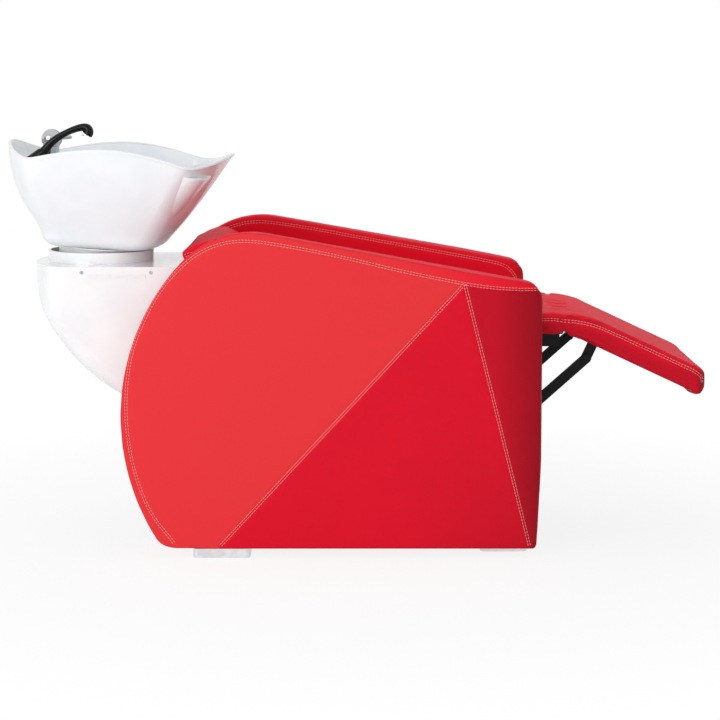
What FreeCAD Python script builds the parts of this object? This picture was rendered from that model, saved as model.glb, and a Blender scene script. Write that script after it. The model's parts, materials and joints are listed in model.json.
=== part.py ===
"""Hair washing bed: a seat and back between two armrests, a tilting basin and a folding legrest.

The origin is on the floor under the middle of the length. +X points to the legrest, +Y to the
sitter's left and +Z up. Sizes are in millimetres and angles in degrees.
"""
import FreeCAD, Part
import math
import os

import Sketcher
from FreeCAD import Vector

SIZES = {
    # feet
    "foot_height": 22,
    "foot_round": 12,
    "rear_foot_x": -310.5,
    "rear_foot_length": 133,
    "rear_foot_inset": 5,
    "rear_foot_width": 85,
    "front_foot_x": 353,
    "front_foot_length": 111,
    "front_foot_reach": 25,
    "front_foot_width": 85,
    # armrests
    "arm_width": 95,
    "arm_inner": 245,
    "arm_back_x": -17,
    "arm_back_z": 325,
    "arm_back_radius": 528,
    "arm_join_heading": 46.5,
    "arm_top_radius": 221,
    "arm_slope": 10.3,
    "arm_front_x": 436,
    "arm_front_round": 48,
    "arm_heel_round": 50,
    "arm_toe_round": 10,
    "arm_toe_back": 11,
    "arm_shin_z": 230,
    "arm_edge_round": 15,
    "nose_sweep": 22,
    "nose_tip_radius": 20,
    "nose_low_radius": 20,
    "nose_high_radius": 552,
    "nose_high_z": 800,
    "nose_inner_radius": 28,
    "facet_peak_x": 247,
    "facet_peak_z": 643,
    "facet_lean": 47.9,
    "facet_tilt": 5,
    # plywood cores of the armrests
    "core_foam": 28,
    "core_front_foam": 47,
    "core_thickness": 26,
    "core_cover": 12,
    "core_step_z": 440,
    # steel tubes across the base
    "base_tube_width": 50,
    "base_tube_height": 40,
    "tube_wall": 3,
    "tube_side": 30,
    # seat
    "seat_bottom": 515,
    "seat_thickness": 47,
    "seat_side_gap": 7,
    "seat_break_x": 445,
    "seat_slope": 5,
    "seat_edge_round": 17,
    "crease_x": 494,
    "crease_round": 9,
    "soft_gap": 0.3,
    "board_inset": 23,
    "seat_board_thickness": 15,
    "seat_board_front_x": 478,
    # seat side plates
    "plate_inset": 31,
    "plate_thickness": 6,
    "plate_height": 36,
    "plate_front_x": 486,
    "plate_back_x": 40,
    "hanger_radius": 24,
    "hanger_back_x": 290,
    "front_cross_x": 375,
    "rear_cross_x": 45,
    "front_bar_x": 450,
    # back
    "back_crest_x": -328,
    "back_crest_z": 676,
    "back_angle": 37.4,
    "back_thickness": 95,
    "back_length": 385,
    "back_crown_radius": 2600,
    "back_edge_round": 14,
    "back_board_thickness": 15,
    "back_board_start": 20,
    "back_board_end": 370,
    "back_tube_high": 100,
    "back_tube_low": 320,
    # front apron and rear panel
    "apron_x": 280,
    "apron_thickness": 15,
    "apron_top": 440,
    "panel_thickness": 4,
    "panel_top": 318,
    "panel_lift": 3,
    "side_play": 0.5,
    "batten_side": 20,
    "panel_screw_radius": 9,
    "panel_screw_head": 4,
    "panel_screw_y": 150,
    # legrest
    "leg_inset": 3,
    "leg_root_x": 539,
    "leg_root_z": 500,
    "leg_angle": 24.8,
    "leg_thickness": 52.8,
    "leg_nose_x": 831,
    "leg_break_round": 70,
    "lip_bottom_z": 368,
    "lip_back_x": 790,
    "lip_top_round": 12,
    "lip_front_round": 24,
    "lip_back_round": 14,
    "leg_corner_round": 34,
    "leg_edge_round": 8,
    "leg_board_start": 8,
    "leg_board_length": 250,
    "leg_board_thickness": 12,
    # legrest hinge
    "hinge_x": 494,
    "hinge_z": 508,
    "hinge_radius": 6.5,
    "hinge_pin_radius": 3,
    "hinge_inner": 60,
    "hinge_knuckle": 20,
    "hinge_leaf": 4,
    "hinge_leaf_reach": 60,
    "running_gap": 0.05,
    "side_gap": 0.2,
    # legrest bracket, strut and crank
    "bracket_side_step": 11.5,
    "link_thickness": 6,
    "link_radius": 12,
    "bracket_pin_along": 28,
    "bracket_pin_drop": 39,
    "bracket_flange": 35,
    "bracket_flange_length": 50,
    "strut_angle": 42,
    "strut_length": 200,
    "strut_gap": 0.5,
    "strut_bolt_radius": 6,
    "bolt_head_radius": 10,
    "bolt_head_height": 5,
    "crank_pin_radius": 5,
    "crank_pin_gap": 0.4,
    "torque_tube_radius": 14,
    "bush_wall": 3,
    "bush_play": 1,
    # support shell behind the back
    "shell_half_width": 193,
    "shell_arc_x": -332,
    "shell_arc_z": 750.2,
    "shell_arc_radius": 453.4,
    "shell_front_x": -385,
    "shell_end_x": -775,
    "shell_corner": 60,
    "shell_corner_inset_x": 90,
    "shell_corner_inset_y": 63,
    "shell_edge_round": 48,
    "shell_wall": 7,
    "cover_top": 668,
    "cover_skirt": 44,
    "cover_wall": 3.5,
    "cover_lip": 20,
    "cover_hole_radius": 112,
    "cover_screw_radius": 4,
    "cover_screw_drop": 13,
    "cover_screw_rear_x": -644,
    "cover_screw_front_x": -480.5,
    "trim_back_x": -634,
    "trim_length": 141,
    "trim_height": 9,
    "trim_drop": 27,
    "trim_thickness": 1.5,
    # steel support inside the shell
    "support_tube_side": 40,
    "support_cross_x": -345,
    "support_cross_z": 515,
    "support_arm_end_x": -690,
    "support_arm_inner": 85,
    "support_arm_width": 30,
    "support_arm_height": 35,
    "support_plate_thickness": 8,
    "support_plate_front_x": -540,
    "support_hole_radius": 30,
    "cover_post": 15,
    # collar and tilt
    "collar_x": -620,
    "collar_radius": 128,
    "collar_wall": 5,
    "collar_top": 694,
    "ear_inner": 60,
    "ear_thickness": 6,
    "ear_radius": 14,
    "ear_foot_half": 30,
    "ear_foot_width": 26,
    "ear_foot_thickness": 5,
    "tilt_pin_radius": 6,
    "tilt_pin_overrun": 4,
    # basin, in its own tilted frame with the origin under its base
    "basin_x": -619,
    "basin_z": 703,
    "basin_lean": 3.6,
    "basin_depth": 262,
    "basin_base_half": 127,
    "basin_base_side": 118,
    "basin_back_growth": 109,
    "basin_front_growth": 196,
    "basin_side_growth": 140,
    "basin_corner": 50,
    "basin_base_inset": 62,
    "basin_rim_inset": 112,
    "basin_side_inset": 52,
    "basin_wall": 9,
    "rim_centre_x": 46.5,
    "rim_half_length": 200.5,
    "rim_half_width": 225,
    "rim_top_z": 245,
    "rim_corner_drop": 29,
    "bowl_floor": 30,
    "bowl_back_low": 50,
    "bowl_back_high": 92,
    "deck_z": 190,
    "drain_x": 25,
    "drain_hole_radius": 24,
    "drain_flange_radius": 34,
    "drain_flange_height": 2,
    "drain_bore_radius": 19,
    "drain_tail_radius": 20,
    "drain_tail_end": 45,
    "strainer_radius": 17,
    "strainer_thickness": 2,
    "strainer_hole_radius": 2,
    "strainer_holes": 8,
    "strainer_hole_circle": 11,
    "strainer_knob_radius": 4,
    "strainer_knob_height": 8,
    "neck_radius": 103,
    "neck_wall": 6,
    "neck_depth": 26,
    "neck_flange_radius": 116,
    "neck_flange": 3,
    "pivot_drop": 43,
    "saddle_back": 55,
    "saddle_front": 80,
    "saddle_half_width": 66,
    "saddle_thickness": 8,
    "lug_thickness": 9.5,
    "lug_radius": 12,
    # mixer tap
    "mixer_back": 137,
    "mixer_y": 25,
    "mixer_radius": 20,
    "mixer_flange_radius": 24,
    "mixer_flange": 4,
    "mixer_top": 232,
    "mixer_hole_radius": 16,
    "mixer_tail": 30,
    "ball_radius": 25,
    "ball_centre_z": 249,
    "slot_half_width": 6,
    "slot_depth": 8,
    "lever_radius": 4.5,
    "lever_length": 46,
    "lever_rise": 10,
    "lever_barrel": 6.5,
    "cap_gap": 0.3,
    # hand shower
    "shower_y": -40,
    "shower_foot_back": 146.9,
    "shower_foot_z": 217.2,
    "shower_lean": 42.2,
    "shower_foot_radius": 13.5,
    "shower_grip_radius": 11,
    "shower_neck_radius": 8.5,
    "shower_head_back": 42.5,
    "shower_head_low": 267.5,
    "shower_head_high": 293.5,
    "shower_head_radius": 14,
    "shower_head_round": 6,
    "spray_radius": 12,
    "spray_thickness": 2,
    "spigot_radius": 9.5,
    "spigot_length": 22,
    "holder_top_radius": 15,
    "holder_base_radius": 19,
    "holder_flange": 3,
    "holder_bore_gap": 0.4,
    "hose_radius": 6,
    # supply and waste
    "waste_radius": 20,
    "waste_x": -250,
    "waste_pipe_top": 150,
    "waste_wall": 2.5,
    "waste_collar_radius": 23,
    "waste_collar_low": 104,
    "waste_collar_high": 118,
    "hose_x": -272,
    "hose_y": 55,
    "union_radius": 13,
    "union_bore": 10.2,
    "union_depth": 12,
    "union_height": 24,
    "service_z": 110,
    "service_thickness": 4,
    "service_half_width": 95,
    "overrun": 20,
}

# Shares of the basin's depth, and of its growth from base to rim, at each level of its wall
LEVEL_SHARES = (0, 0.03, 0.126, 0.458, 0.698, 1)
BACK_SHARES = (0, 0.095, 0.19, 0.695, 0.886, 1)
FRONT_SHARES = (0, 0.097, 0.214, 0.546, 0.755, 1)
SIDE_SHARES = (0, 0.107, 0.23, 0.636, 0.843, 1)
# The bowl narrows to its floor by these shares of its size on the inside of the wall
BOWL_LEVEL_SHARES = (0, 0.12, 0.4, 1)
BOWL_FRONT_SHARES = (0.62, 0.9, 0.98, 1)
BOWL_SIDE_SHARES = (0.66, 0.9, 0.98, 1)

# Routes of the hoses inside the shell: each runs down from the basin and forward to the floor
COLD_ROUTE = (
    (-739, 34, 873), (-736, 32, 810), (-702, 28, 735), (-700, 26, 640), (-699, 26, 570),
    (-650, 29, 518), (-560, 36, 492), (-440, 46, 458), (-345, 55, 380), (-287, 55, 270), (-272, 55, 132),
)
HOT_ROUTE = (
    (-739, 16, 873), (-736, 16, 810), (-702, 12, 735), (-700, 8, 640), (-699, 4, 564),
    (-650, -26, 520), (-570, -38, 488), (-440, -46, 440), (-345, -55, 365), (-287, -55, 260),
    (-272, -55, 132),
)
SHOWER_ROUTE = (
    (-769.2, -40, 915.2), (-790, -40, 898.6), (-797, -42, 855), (-777, -46, 805), (-710, -49, 758),
    (-683, -49, 705), (-694, -50, 640), (-708, -52, 575), (-712, 0, 545), (-708, 52, 575),
    (-694, 50, 640), (-683, 49, 705), (-730, 48, 755), (-765, 36, 815), (-758, 25, 873),
)
WASTE_ROUTE = (
    (-597, 0, 655), (-597, 0, 600), (-592, 0, 545), (-545, 0, 485), (-440, 0, 430), (-330, 0, 385),
    (-262, 0, 315), (-250, 0, 235), (-250, 0, 150),
)


class Size:
    """A number together with the sheet expression that gives it."""

    def __init__(self, value, text):
        self.value = value
        self.text = text

    def __add__(self, other):
        return Size(self.value + number(other), f"({self.text} + {words(other)})")

    def __radd__(self, other):
        return Size(number(other) + self.value, f"({words(other)} + {self.text})")

    def __sub__(self, other):
        return Size(self.value - number(other), f"({self.text} - {words(other)})")

    def __rsub__(self, other):
        return Size(number(other) - self.value, f"({words(other)} - {self.text})")

    def __mul__(self, other):
        return Size(self.value * number(other), f"({self.text} * {words(other)})")

    def __rmul__(self, other):
        return Size(number(other) * self.value, f"({words(other)} * {self.text})")

    def __truediv__(self, other):
        return Size(self.value / number(other), f"({self.text} / {words(other)})")

    def __neg__(self):
        return Size(-self.value, f"(0 - {self.text})")


def number(item):
    return item.value if isinstance(item, Size) else item


def words(item):
    return item.text if isinstance(item, Size) else repr(float(item))


def sine(angle):
    return Size(math.sin(math.radians(number(angle))), f"sin({words(angle)} * 1 deg)")


def cosine(angle):
    return Size(math.cos(math.radians(number(angle))), f"cos({words(angle)} * 1 deg)")


def tangent(angle):
    return Size(math.tan(math.radians(number(angle))), f"tan({words(angle)} * 1 deg)")


def root(square):
    return Size(math.sqrt(number(square)), f"sqrt({words(square)})")


def slope_of(rise, run):
    return Size(math.degrees(math.atan(number(rise) / number(run))), f"atan({words(rise)} / {words(run)})")


class Dimensions:
    """The sheet's sizes as attributes."""

    def __init__(self, sheet):
        for row, (name, value) in enumerate(SIZES.items(), start=1):
            sheet.set(f"A{row}", name)
            sheet.set(f"B{row}", str(value))
            sheet.setAlias(f"B{row}", name)
            setattr(self, name, Size(value, f"sizes.{name}"))


doc = FreeCAD.newDocument("hair_washing_bed")
sheet = doc.addObject("Spreadsheet::Sheet", "sizes")
dim = Dimensions(sheet)
# Widths that follow the room between the armrests, and heights that follow the shell's cover
dim.arm_outer = dim.arm_inner + dim.arm_width
dim.rear_foot_outer = dim.arm_outer - dim.rear_foot_inset
dim.front_foot_outer = dim.arm_inner + dim.front_foot_reach
dim.seat_half_width = dim.arm_inner - dim.seat_side_gap
dim.leg_half_width = dim.seat_half_width - dim.leg_inset
dim.board_half_width = dim.seat_half_width - dim.board_inset
dim.plate_inner = dim.board_half_width - dim.plate_inset
dim.bracket_inner = dim.plate_inner + dim.bracket_side_step
dim.cover_screw_z = dim.cover_top - dim.cover_screw_drop
dim.trim_z = dim.cover_top - dim.trim_drop
doc.recompute()
sub_parts = {}


class Outline:
    """A closed outline of straight and round edges, given corner by corner."""

    def __init__(self, across, up):
        self.corners = [(across, up)]
        self.arcs = []

    def line(self, across, up):
        self.corners.append((across, up))
        self.arcs.append(None)
        return self

    def arc(self, across, up, radius, clockwise=False):
        self.corners.append((across, up))
        self.arcs.append((radius, clockwise))
        return self

    def close(self, radius=None, clockwise=False):
        self.arcs.append((radius, clockwise) if radius is not None else None)
        return self


def arc_centre(start, end, radius, clockwise):
    """Centre of the short arc from start to end."""
    chord = end.sub(start)
    half = chord.Length / 2
    rise = math.sqrt(max(radius * radius - half * half, 0))
    side = Vector(-chord.y, chord.x, 0).normalize()
    if clockwise:
        side = side.negative()
    return start.add(chord.multiply(0.5)).add(side.multiply(rise))


def draw(sketch, outline):
    """Draws an outline in a sketch and binds its corners and radii to the sheet."""
    first = sketch.GeometryCount
    count = len(outline.corners)
    points = [Vector(number(across), number(up), 0) for across, up in outline.corners]
    starts = []
    ends = []
    for place, arc in enumerate(outline.arcs):
        start = points[place]
        end = points[(place + 1) % count]
        if arc is None:
            sketch.addGeometry(Part.LineSegment(start, end), False)
            starts.append(1)
            ends.append(2)
            continue
        radius, clockwise = arc
        centre = arc_centre(Vector(start), Vector(end), number(radius), clockwise)
        low, high = (end, start) if clockwise else (start, end)
        turn_from = math.atan2(low.y - centre.y, low.x - centre.x)
        turn_to = math.atan2(high.y - centre.y, high.x - centre.x)
        if turn_to < turn_from:
            turn_to += 2 * math.pi
        circle = Part.Circle(centre, Vector(0, 0, 1), number(radius))
        sketch.addGeometry(Part.ArcOfCircle(circle, turn_from, turn_to), False)
        starts.append(2 if clockwise else 1)
        ends.append(1 if clockwise else 2)
    for place, arc in enumerate(outline.arcs):
        edge = first + place
        after = first + (place + 1) % count
        sketch.addConstraint(
            Sketcher.Constraint("Coincident", edge, ends[place], after, starts[(place + 1) % count])
        )
        across, up = outline.corners[place]
        constrain(sketch, "DistanceX", (-1, 1, edge, starts[place]), across)
        constrain(sketch, "DistanceY", (-1, 1, edge, starts[place]), up)
        if arc is None:
            continue
        next_across, next_up = outline.corners[(place + 1) % count]
        run = number(next_across - across)
        rise = number(next_up - up)
        if math.hypot(run, rise) < 2 * number(arc[0]) - number(dim.running_gap):
            constrain(sketch, "Radius", (edge,), arc[0])
        elif abs(run) > abs(rise):
            constrain(sketch, "DistanceY", (-1, 1, edge, 3), (up + next_up) / 2)
        else:
            constrain(sketch, "DistanceX", (-1, 1, edge, 3), (across + next_across) / 2)


def constrain(sketch, kind, targets, size):
    place = sketch.addConstraint(Sketcher.Constraint(kind, *targets, float(number(size))))
    if isinstance(size, Size):
        sketch.setExpression(f"Constraints[{place}]", size.text)


def draw_circle(sketch, across, up, radius):
    edge = sketch.GeometryCount
    centre = Vector(number(across), number(up), 0)
    sketch.addGeometry(Part.Circle(centre, Vector(0, 0, 1), number(radius)), False)
    constrain(sketch, "DistanceX", (-1, 1, edge, 3), across)
    constrain(sketch, "DistanceY", (-1, 1, edge, 3), up)
    constrain(sketch, "Radius", (edge,), radius)


def vector_text(x=0, y=0, z=0):
    return f"vector({words(x)}; {words(y)}; {words(z)})"


def placement_text(x=0, y=0, z=0, lean=0, roll=0):
    """A placement leaned about Y and then rolled about its own X."""
    return (
        f"placement({vector_text(x, y, z)}; "
        f"rotation(vector(0; 1; 0); {words(lean)}) * rotation(vector(1; 0; 0); {words(roll)}))"
    )


def place(item, x=0, y=0, z=0, lean=0, roll=0):
    item.setExpression("Placement", placement_text(x, y, z, lean, roll))
    return item


def bind(item, **sizes):
    for name, size in sizes.items():
        item.setExpression(name, words(size))
    return item


def block(name, x, y, z):
    """A box between pairs of low and high sizes."""
    item = doc.addObject("Part::Box", name)
    bind(item, Length=x[1] - x[0], Width=y[1] - y[0], Height=z[1] - z[0])
    return place(item, x[0], y[0], z[0])


def cylinder(name, radius, height, x=0, y=0, z=0, lean=0, roll=0):
    item = doc.addObject("Part::Cylinder", name)
    bind(item, Radius=radius, Height=height)
    return place(item, x, y, z, lean, roll)


def cross_pin(name, radius, x, z, low, high):
    """A cylinder along Y from low to high."""
    return cylinder(name, radius, high - low, x, high, z, roll=90)


def cut(name, base, *tools):
    item = doc.addObject("Part::Cut", name)
    item.Base = base
    item.Tool = tools[0] if len(tools) == 1 else fuse(name + "_tools", *tools)
    return item


def fuse(name, *items):
    item = doc.addObject("Part::MultiFuse", name)
    item.Shapes = list(items)
    return item


def common(name, *items):
    item = doc.addObject("Part::MultiCommon", name)
    item.Shapes = list(items)
    return item


def mirror(name, source):
    item = doc.addObject("Part::Mirroring", name)
    item.Source = source
    item.Normal = (0, 1, 0)
    return item


def group(name, *items):
    item = doc.addObject("Part::Compound", name)
    item.Links = list(items)
    return item


def both_sides(name, source):
    return group(name, source, mirror(name + "_other", source))


def origin_plane(body, role):
    return next(item for item in body.Origin.OriginFeatures if item.Role == role)


def new_sketch(body, name, role, lift):
    sketch = body.newObject("Sketcher::SketchObject", name)
    sketch.AttachmentSupport = (origin_plane(body, role), [""])
    sketch.MapMode = "FlatFace"
    bind(sketch, **{"AttachmentOffset.Base.z": lift})
    return sketch


def upright(name, outline, low, high, holes=()):
    """A body with its outline in the XZ plane, padded from low to high along Y."""
    body = doc.addObject("PartDesign::Body", name)
    sketch = new_sketch(body, name + "_outline", "XZ_Plane", -high)
    draw(sketch, outline)
    for hole in holes:
        draw_circle(sketch, *hole)
    pad = body.newObject("PartDesign::Pad", name + "_pad")
    pad.Profile = sketch
    bind(pad, Length=high - low)
    return body


def flat(name, outline, low, high, holes=()):
    """A body with its outline in the XY plane, padded from low to high along Z."""
    body = doc.addObject("PartDesign::Body", name)
    sketch = new_sketch(body, name + "_outline", "XY_Plane", low)
    draw(sketch, outline)
    for hole in holes:
        draw_circle(sketch, *hole)
    pad = body.newObject("PartDesign::Pad", name + "_pad")
    pad.Profile = sketch
    bind(pad, Length=high - low)
    return body


def turned(name, outline):
    """A body turned about its own Z axis from a half outline in the XZ plane."""
    body = doc.addObject("PartDesign::Body", name)
    sketch = new_sketch(body, name + "_outline", "XZ_Plane", 0 * dim.overrun)
    draw(sketch, outline)
    turn = body.newObject("PartDesign::Revolution", name + "_turn")
    turn.Profile = sketch
    turn.ReferenceAxis = (sketch, ["V_Axis"])
    turn.Angle = 360
    return body


def edges_where(shape, test):
    return [f"Edge{place}" for place, edge in enumerate(shape.Edges, start=1) if test(edge)]


def round_edges(body, radius, test):
    """Adds a fillet to the edges of a body that the test picks."""
    doc.recompute()
    tip = body.Tip
    names = edges_where(tip.Shape, test)
    if not names:
        raise RuntimeError(f"{body.Name} has no edge to round")
    fillet = body.newObject("PartDesign::Fillet", body.Name + "_round" + str(len(body.Group)))
    fillet.Base = (tip, names)
    bind(fillet, Radius=radius)
    return body


def cross_edge_at(x, z):
    """Picks the straight edge along Y at a corner of an upright outline."""
    spot = Vector(number(x), 0, number(z))

    def test(edge):
        if len(edge.Vertexes) != 2:
            return False
        ends = [Vector(v.X, 0, v.Z) for v in edge.Vertexes]
        near = number(dim.running_gap)
        return all(end.distanceToPoint(spot) < near for end in ends)

    return test


def rim_edge_on(y, above=None):
    """Picks the edges that lie in the plane at y, above a height where one is given."""
    level = number(y)

    def test(edge):
        near = number(dim.running_gap)
        if any(abs(v.Y - level) > near for v in edge.Vertexes):
            return False
        if abs(edge.BoundBox.YLength) > near:
            return False
        return above is None or edge.CenterOfMass.z > number(above)

    return test


def upright_edge(edge):
    """Picks the straight edges that stand along Z."""
    near = number(dim.running_gap)
    box = edge.BoundBox
    return box.XLength < near and box.YLength < near


def keep(label, item):
    item.Label = label
    sub_parts[label] = item
    return item


def rectangle(across, up):
    return (
        Outline(across[0], up[0]).line(across[1], up[0]).line(across[1], up[1]).line(across[0], up[1]).close()
    )


def square_tube(name, x, z, half_span, wall, lean=0, at=(0, 0)):
    """A hollow tube along Y between two pairs of sizes, in a frame leaned about Y."""
    body = upright(name, rectangle(x, z), -half_span, half_span)
    inner = rectangle((x[0] + wall, x[1] - wall), (z[0] + wall, z[1] - wall))
    draw(body.Group[0], inner)
    return place(body, at[0], 0, at[1], lean)


def link_outline(length, radius):
    """A flat link with round ends about two pin centres."""
    return (
        Outline(0, -radius)
        .line(length, -radius)
        .arc(length, radius, radius)
        .line(0, radius)
        .close(radius)
    )


# Armrests


def armrest_outline(inset, front_inset):
    """The side view of an armrest, drawn in from its outer edge."""
    back = dim.arm_back_radius - inset
    top = dim.arm_top_radius - inset
    rise = dim.arm_back_z - dim.foot_height
    heel_x = dim.arm_back_x - root(back * back - rise * rise)
    join = dim.arm_join_heading
    start_x = dim.arm_back_x - back * sine(join)
    start_z = dim.arm_back_z + back * cosine(join)
    centre_x = start_x + top * sine(join)
    centre_z = start_z - top * cosine(join)
    end_x = centre_x + top * sine(dim.arm_slope)
    end_z = centre_z + top * cosine(dim.arm_slope)
    front_x = dim.arm_front_x - front_inset
    corner_z = end_z - (front_x - end_x) * tangent(dim.arm_slope)
    outline = (
        Outline(heel_x, dim.foot_height)
        .arc(start_x, start_z, back, clockwise=True)
        .arc(end_x, end_z, top, clockwise=True)
        .line(front_x, corner_z)
        .line(front_x, dim.arm_shin_z)
        .line(front_x - dim.arm_toe_back, dim.foot_height)
        .close()
    )
    corners = {
        "heel": (heel_x, dim.foot_height),
        "front": (front_x, corner_z),
        "toe": (front_x - dim.arm_toe_back, dim.foot_height),
    }
    return outline, corners


def nose_section(name, z, blend):
    """The plan view of an armrest at one height: its outer side rolls round to the front."""
    tip = dim.nose_tip_radius
    run = blend * sine(dim.nose_sweep) + tip * (1 - sine(dim.nose_sweep))
    turn = blend * (1 - cosine(dim.nose_sweep)) + tip * cosine(dim.nose_sweep)
    front = dim.arm_front_x
    outer = -dim.arm_outer
    inner = -dim.arm_inner
    tail = dim.arm_back_x - dim.arm_back_radius - dim.overrun
    middle_x = front - run + blend * sine(dim.nose_sweep)
    middle_y = outer + blend * (1 - cosine(dim.nose_sweep))
    outline = (
        Outline(tail, outer)
        .line(front - run, outer)
        .arc(middle_x, middle_y, blend)
        .arc(front, outer + turn, tip)
        .line(front, inner - dim.nose_inner_radius)
        .arc(front - dim.nose_inner_radius, inner, dim.nose_inner_radius)
        .line(tail, inner)
        .close()
    )
    sketch = doc.addObject("Sketcher::SketchObject", name)
    draw(sketch, outline)
    return place(sketch, 0, 0, z)


def armrest_core():
    """The plywood core: thick all over, and flush with the inner side below the seat."""
    outline, corners = armrest_outline(dim.core_foam, dim.core_front_foam)
    inner = -dim.arm_inner
    cover = inner - dim.core_cover
    main = upright("core_main", outline, cover - dim.core_thickness, cover)
    round_edges(main, dim.arm_heel_round, cross_edge_at(*corners["heel"]))
    low_outline, low_corners = armrest_outline(dim.core_foam, dim.core_front_foam)
    step = upright("core_step", low_outline, cover, inner)
    round_edges(step, dim.arm_heel_round, cross_edge_at(*low_corners["heel"]))
    reach = dim.arm_back_radius + dim.arm_outer
    low_half = block("core_low", (-reach, reach), (cover, inner), (dim.foot_height, dim.core_step_z))
    return fuse("core_right", main, common("core_step_low", step, low_half))


def armrest_pad(core):
    """Foam and cover round the core, with a tilted facet and a nose that widens upwards."""
    outline, corners = armrest_outline(0 * dim.core_foam, 0 * dim.core_foam)
    body = upright("arm_form", outline, -dim.arm_outer, -dim.arm_inner)
    round_edges(body, dim.arm_front_round, cross_edge_at(*corners["front"]))
    round_edges(body, dim.arm_heel_round, cross_edge_at(*corners["heel"]))
    round_edges(body, dim.arm_toe_round, cross_edge_at(*corners["toe"]))
    round_edges(body, dim.arm_edge_round, rim_edge_on(-dim.arm_inner, dim.foot_height + dim.arm_toe_round))
    nose = doc.addObject("Part::Loft", "arm_nose")
    nose.Sections = [
        nose_section("nose_low", dim.foot_height - dim.overrun, dim.nose_low_radius),
        nose_section("nose_high", dim.nose_high_z, dim.nose_high_radius),
    ]
    nose.Solid = True
    nose.Ruled = True
    reach = dim.arm_back_radius * 2
    facet = doc.addObject("Part::Box", "arm_facet")
    bind(facet, Length=reach * 2, Width=dim.arm_outer, Height=reach)
    stand = placement_text(dim.facet_peak_x, -dim.arm_outer, dim.facet_peak_z,
                           -dim.facet_lean, -dim.facet_tilt)
    facet.setExpression("Placement", f"{stand} * placement({vector_text(-reach, -dim.arm_outer, 0)}; "
                        "rotation(vector(0; 1; 0); 0))")
    form = cut("arm_outer_form", common("arm_nosed", body, nose), facet)
    return cut("arm_pad_right", form, core)


def armrests():
    core = armrest_core()
    pad = armrest_pad(core)
    keep("right_armrest_pad", pad)
    keep("left_armrest_pad", mirror("arm_pad_left", pad))
    keep("right_armrest_core", core)
    keep("left_armrest_core", mirror("core_left", core))


def feet():
    for end in ("rear", "front"):
        middle = getattr(dim, end + "_foot_x")
        half = getattr(dim, end + "_foot_length") / 2
        outer = getattr(dim, end + "_foot_outer")
        width = getattr(dim, end + "_foot_width")
        outline = rectangle((middle - half, middle + half), (-outer, width - outer))
        foot = flat(end + "_foot", outline, 0 * dim.foot_height, dim.foot_height)
        round_edges(foot, dim.foot_round, upright_edge)
        keep(end + "_feet", both_sides(end + "_feet_pair", foot))


def base_tubes():
    tubes = []
    for end in ("rear", "front"):
        middle = getattr(dim, end + "_foot_x")
        half = dim.base_tube_width / 2
        tubes.append(square_tube(
            end + "_base_tube", (middle - half, middle + half),
            (dim.foot_height, dim.foot_height + dim.base_tube_height), dim.arm_inner, dim.tube_wall,
        ))
    keep("base_crossbars", group("base_tube_pair", *tubes))


# Seat


def seat_bottom_at(x):
    """Height of the seat's underside, which falls to the back behind a break."""
    return dim.seat_bottom - (dim.seat_break_x - x) * tangent(dim.seat_slope)


def back_point(along, out):
    """A point of the back's own frame: along it from the crest's centre, and out to its front."""
    x = dim.back_crest_x + along * cosine(dim.back_angle) + out * sine(dim.back_angle)
    z = dim.back_crest_z - along * sine(dim.back_angle) + out * cosine(dim.back_angle)
    return x, z


def seat_end(level):
    """Where a line that follows the seat's slope meets the front of the back cushion."""
    face_x, face_z = back_point(0 * dim.soft_gap, dim.back_thickness / 2 + dim.soft_gap)
    fall = tangent(dim.seat_slope)
    lean = tangent(dim.back_angle)
    x = (face_x + (face_z - level + dim.seat_break_x * fall) / lean) / (1 + fall / lean)
    return x, level - (dim.seat_break_x - x) * fall


def seat():
    top = dim.seat_bottom + dim.seat_thickness
    front = dim.crease_x - dim.soft_gap
    high_x, high_z = seat_end(top)
    low_x, low_z = seat_end(dim.seat_bottom)
    crown = (dim.seat_break_x - high_x) / (sine(dim.seat_slope) * cosine(dim.seat_slope) * 2)
    outline = (
        Outline(low_x, low_z)
        .line(dim.seat_break_x, dim.seat_bottom)
        .line(front, dim.seat_bottom)
        .line(front, top)
        .line(dim.seat_break_x, top)
        .arc(high_x, high_z, crown)
        .close()
    )
    cushion = upright("seat_form", outline, -dim.seat_half_width, dim.seat_half_width)
    middle = low_z + dim.seat_thickness / 2
    high = high_z.value - dim.running_gap.value
    for side in (-dim.seat_half_width, dim.seat_half_width):
        on_side = rim_edge_on(side, middle)
        round_edges(cushion, dim.seat_edge_round,
                    lambda edge: on_side(edge) and edge.BoundBox.ZMin > high
                    and edge.BoundBox.XLength > high / top.value)
    level = top.value - dim.running_gap.value
    reach = front.value - dim.running_gap.value
    round_edges(cushion, dim.crease_round, lambda edge: edge.BoundBox.XMin > reach
                and edge.BoundBox.ZMax > level and edge.BoundBox.YLength > dim.seat_edge_round.value / 2)
    thick = dim.seat_board_thickness
    board_back = dim.plate_back_x
    board_outline = (
        Outline(board_back, seat_bottom_at(board_back))
        .line(dim.seat_break_x, dim.seat_bottom)
        .line(dim.seat_board_front_x, dim.seat_bottom)
        .line(dim.seat_board_front_x, dim.seat_bottom + thick)
        .line(dim.seat_break_x, dim.seat_bottom + thick)
        .line(board_back, seat_bottom_at(board_back) + thick)
        .close()
    )
    board = upright("seat_board_form", board_outline, -dim.board_half_width, dim.board_half_width)
    keep("seat_board", board)
    keep("seat_cushion", cut("seat_pad", cushion, board))


def tube_centre():
    """Centre of the torque tube: the legrest hinge moved along the strut."""
    x = dim.hinge_x - dim.strut_length * cosine(dim.strut_angle)
    z = dim.hinge_z - dim.strut_length * sine(dim.strut_angle)
    return x, z


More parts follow.
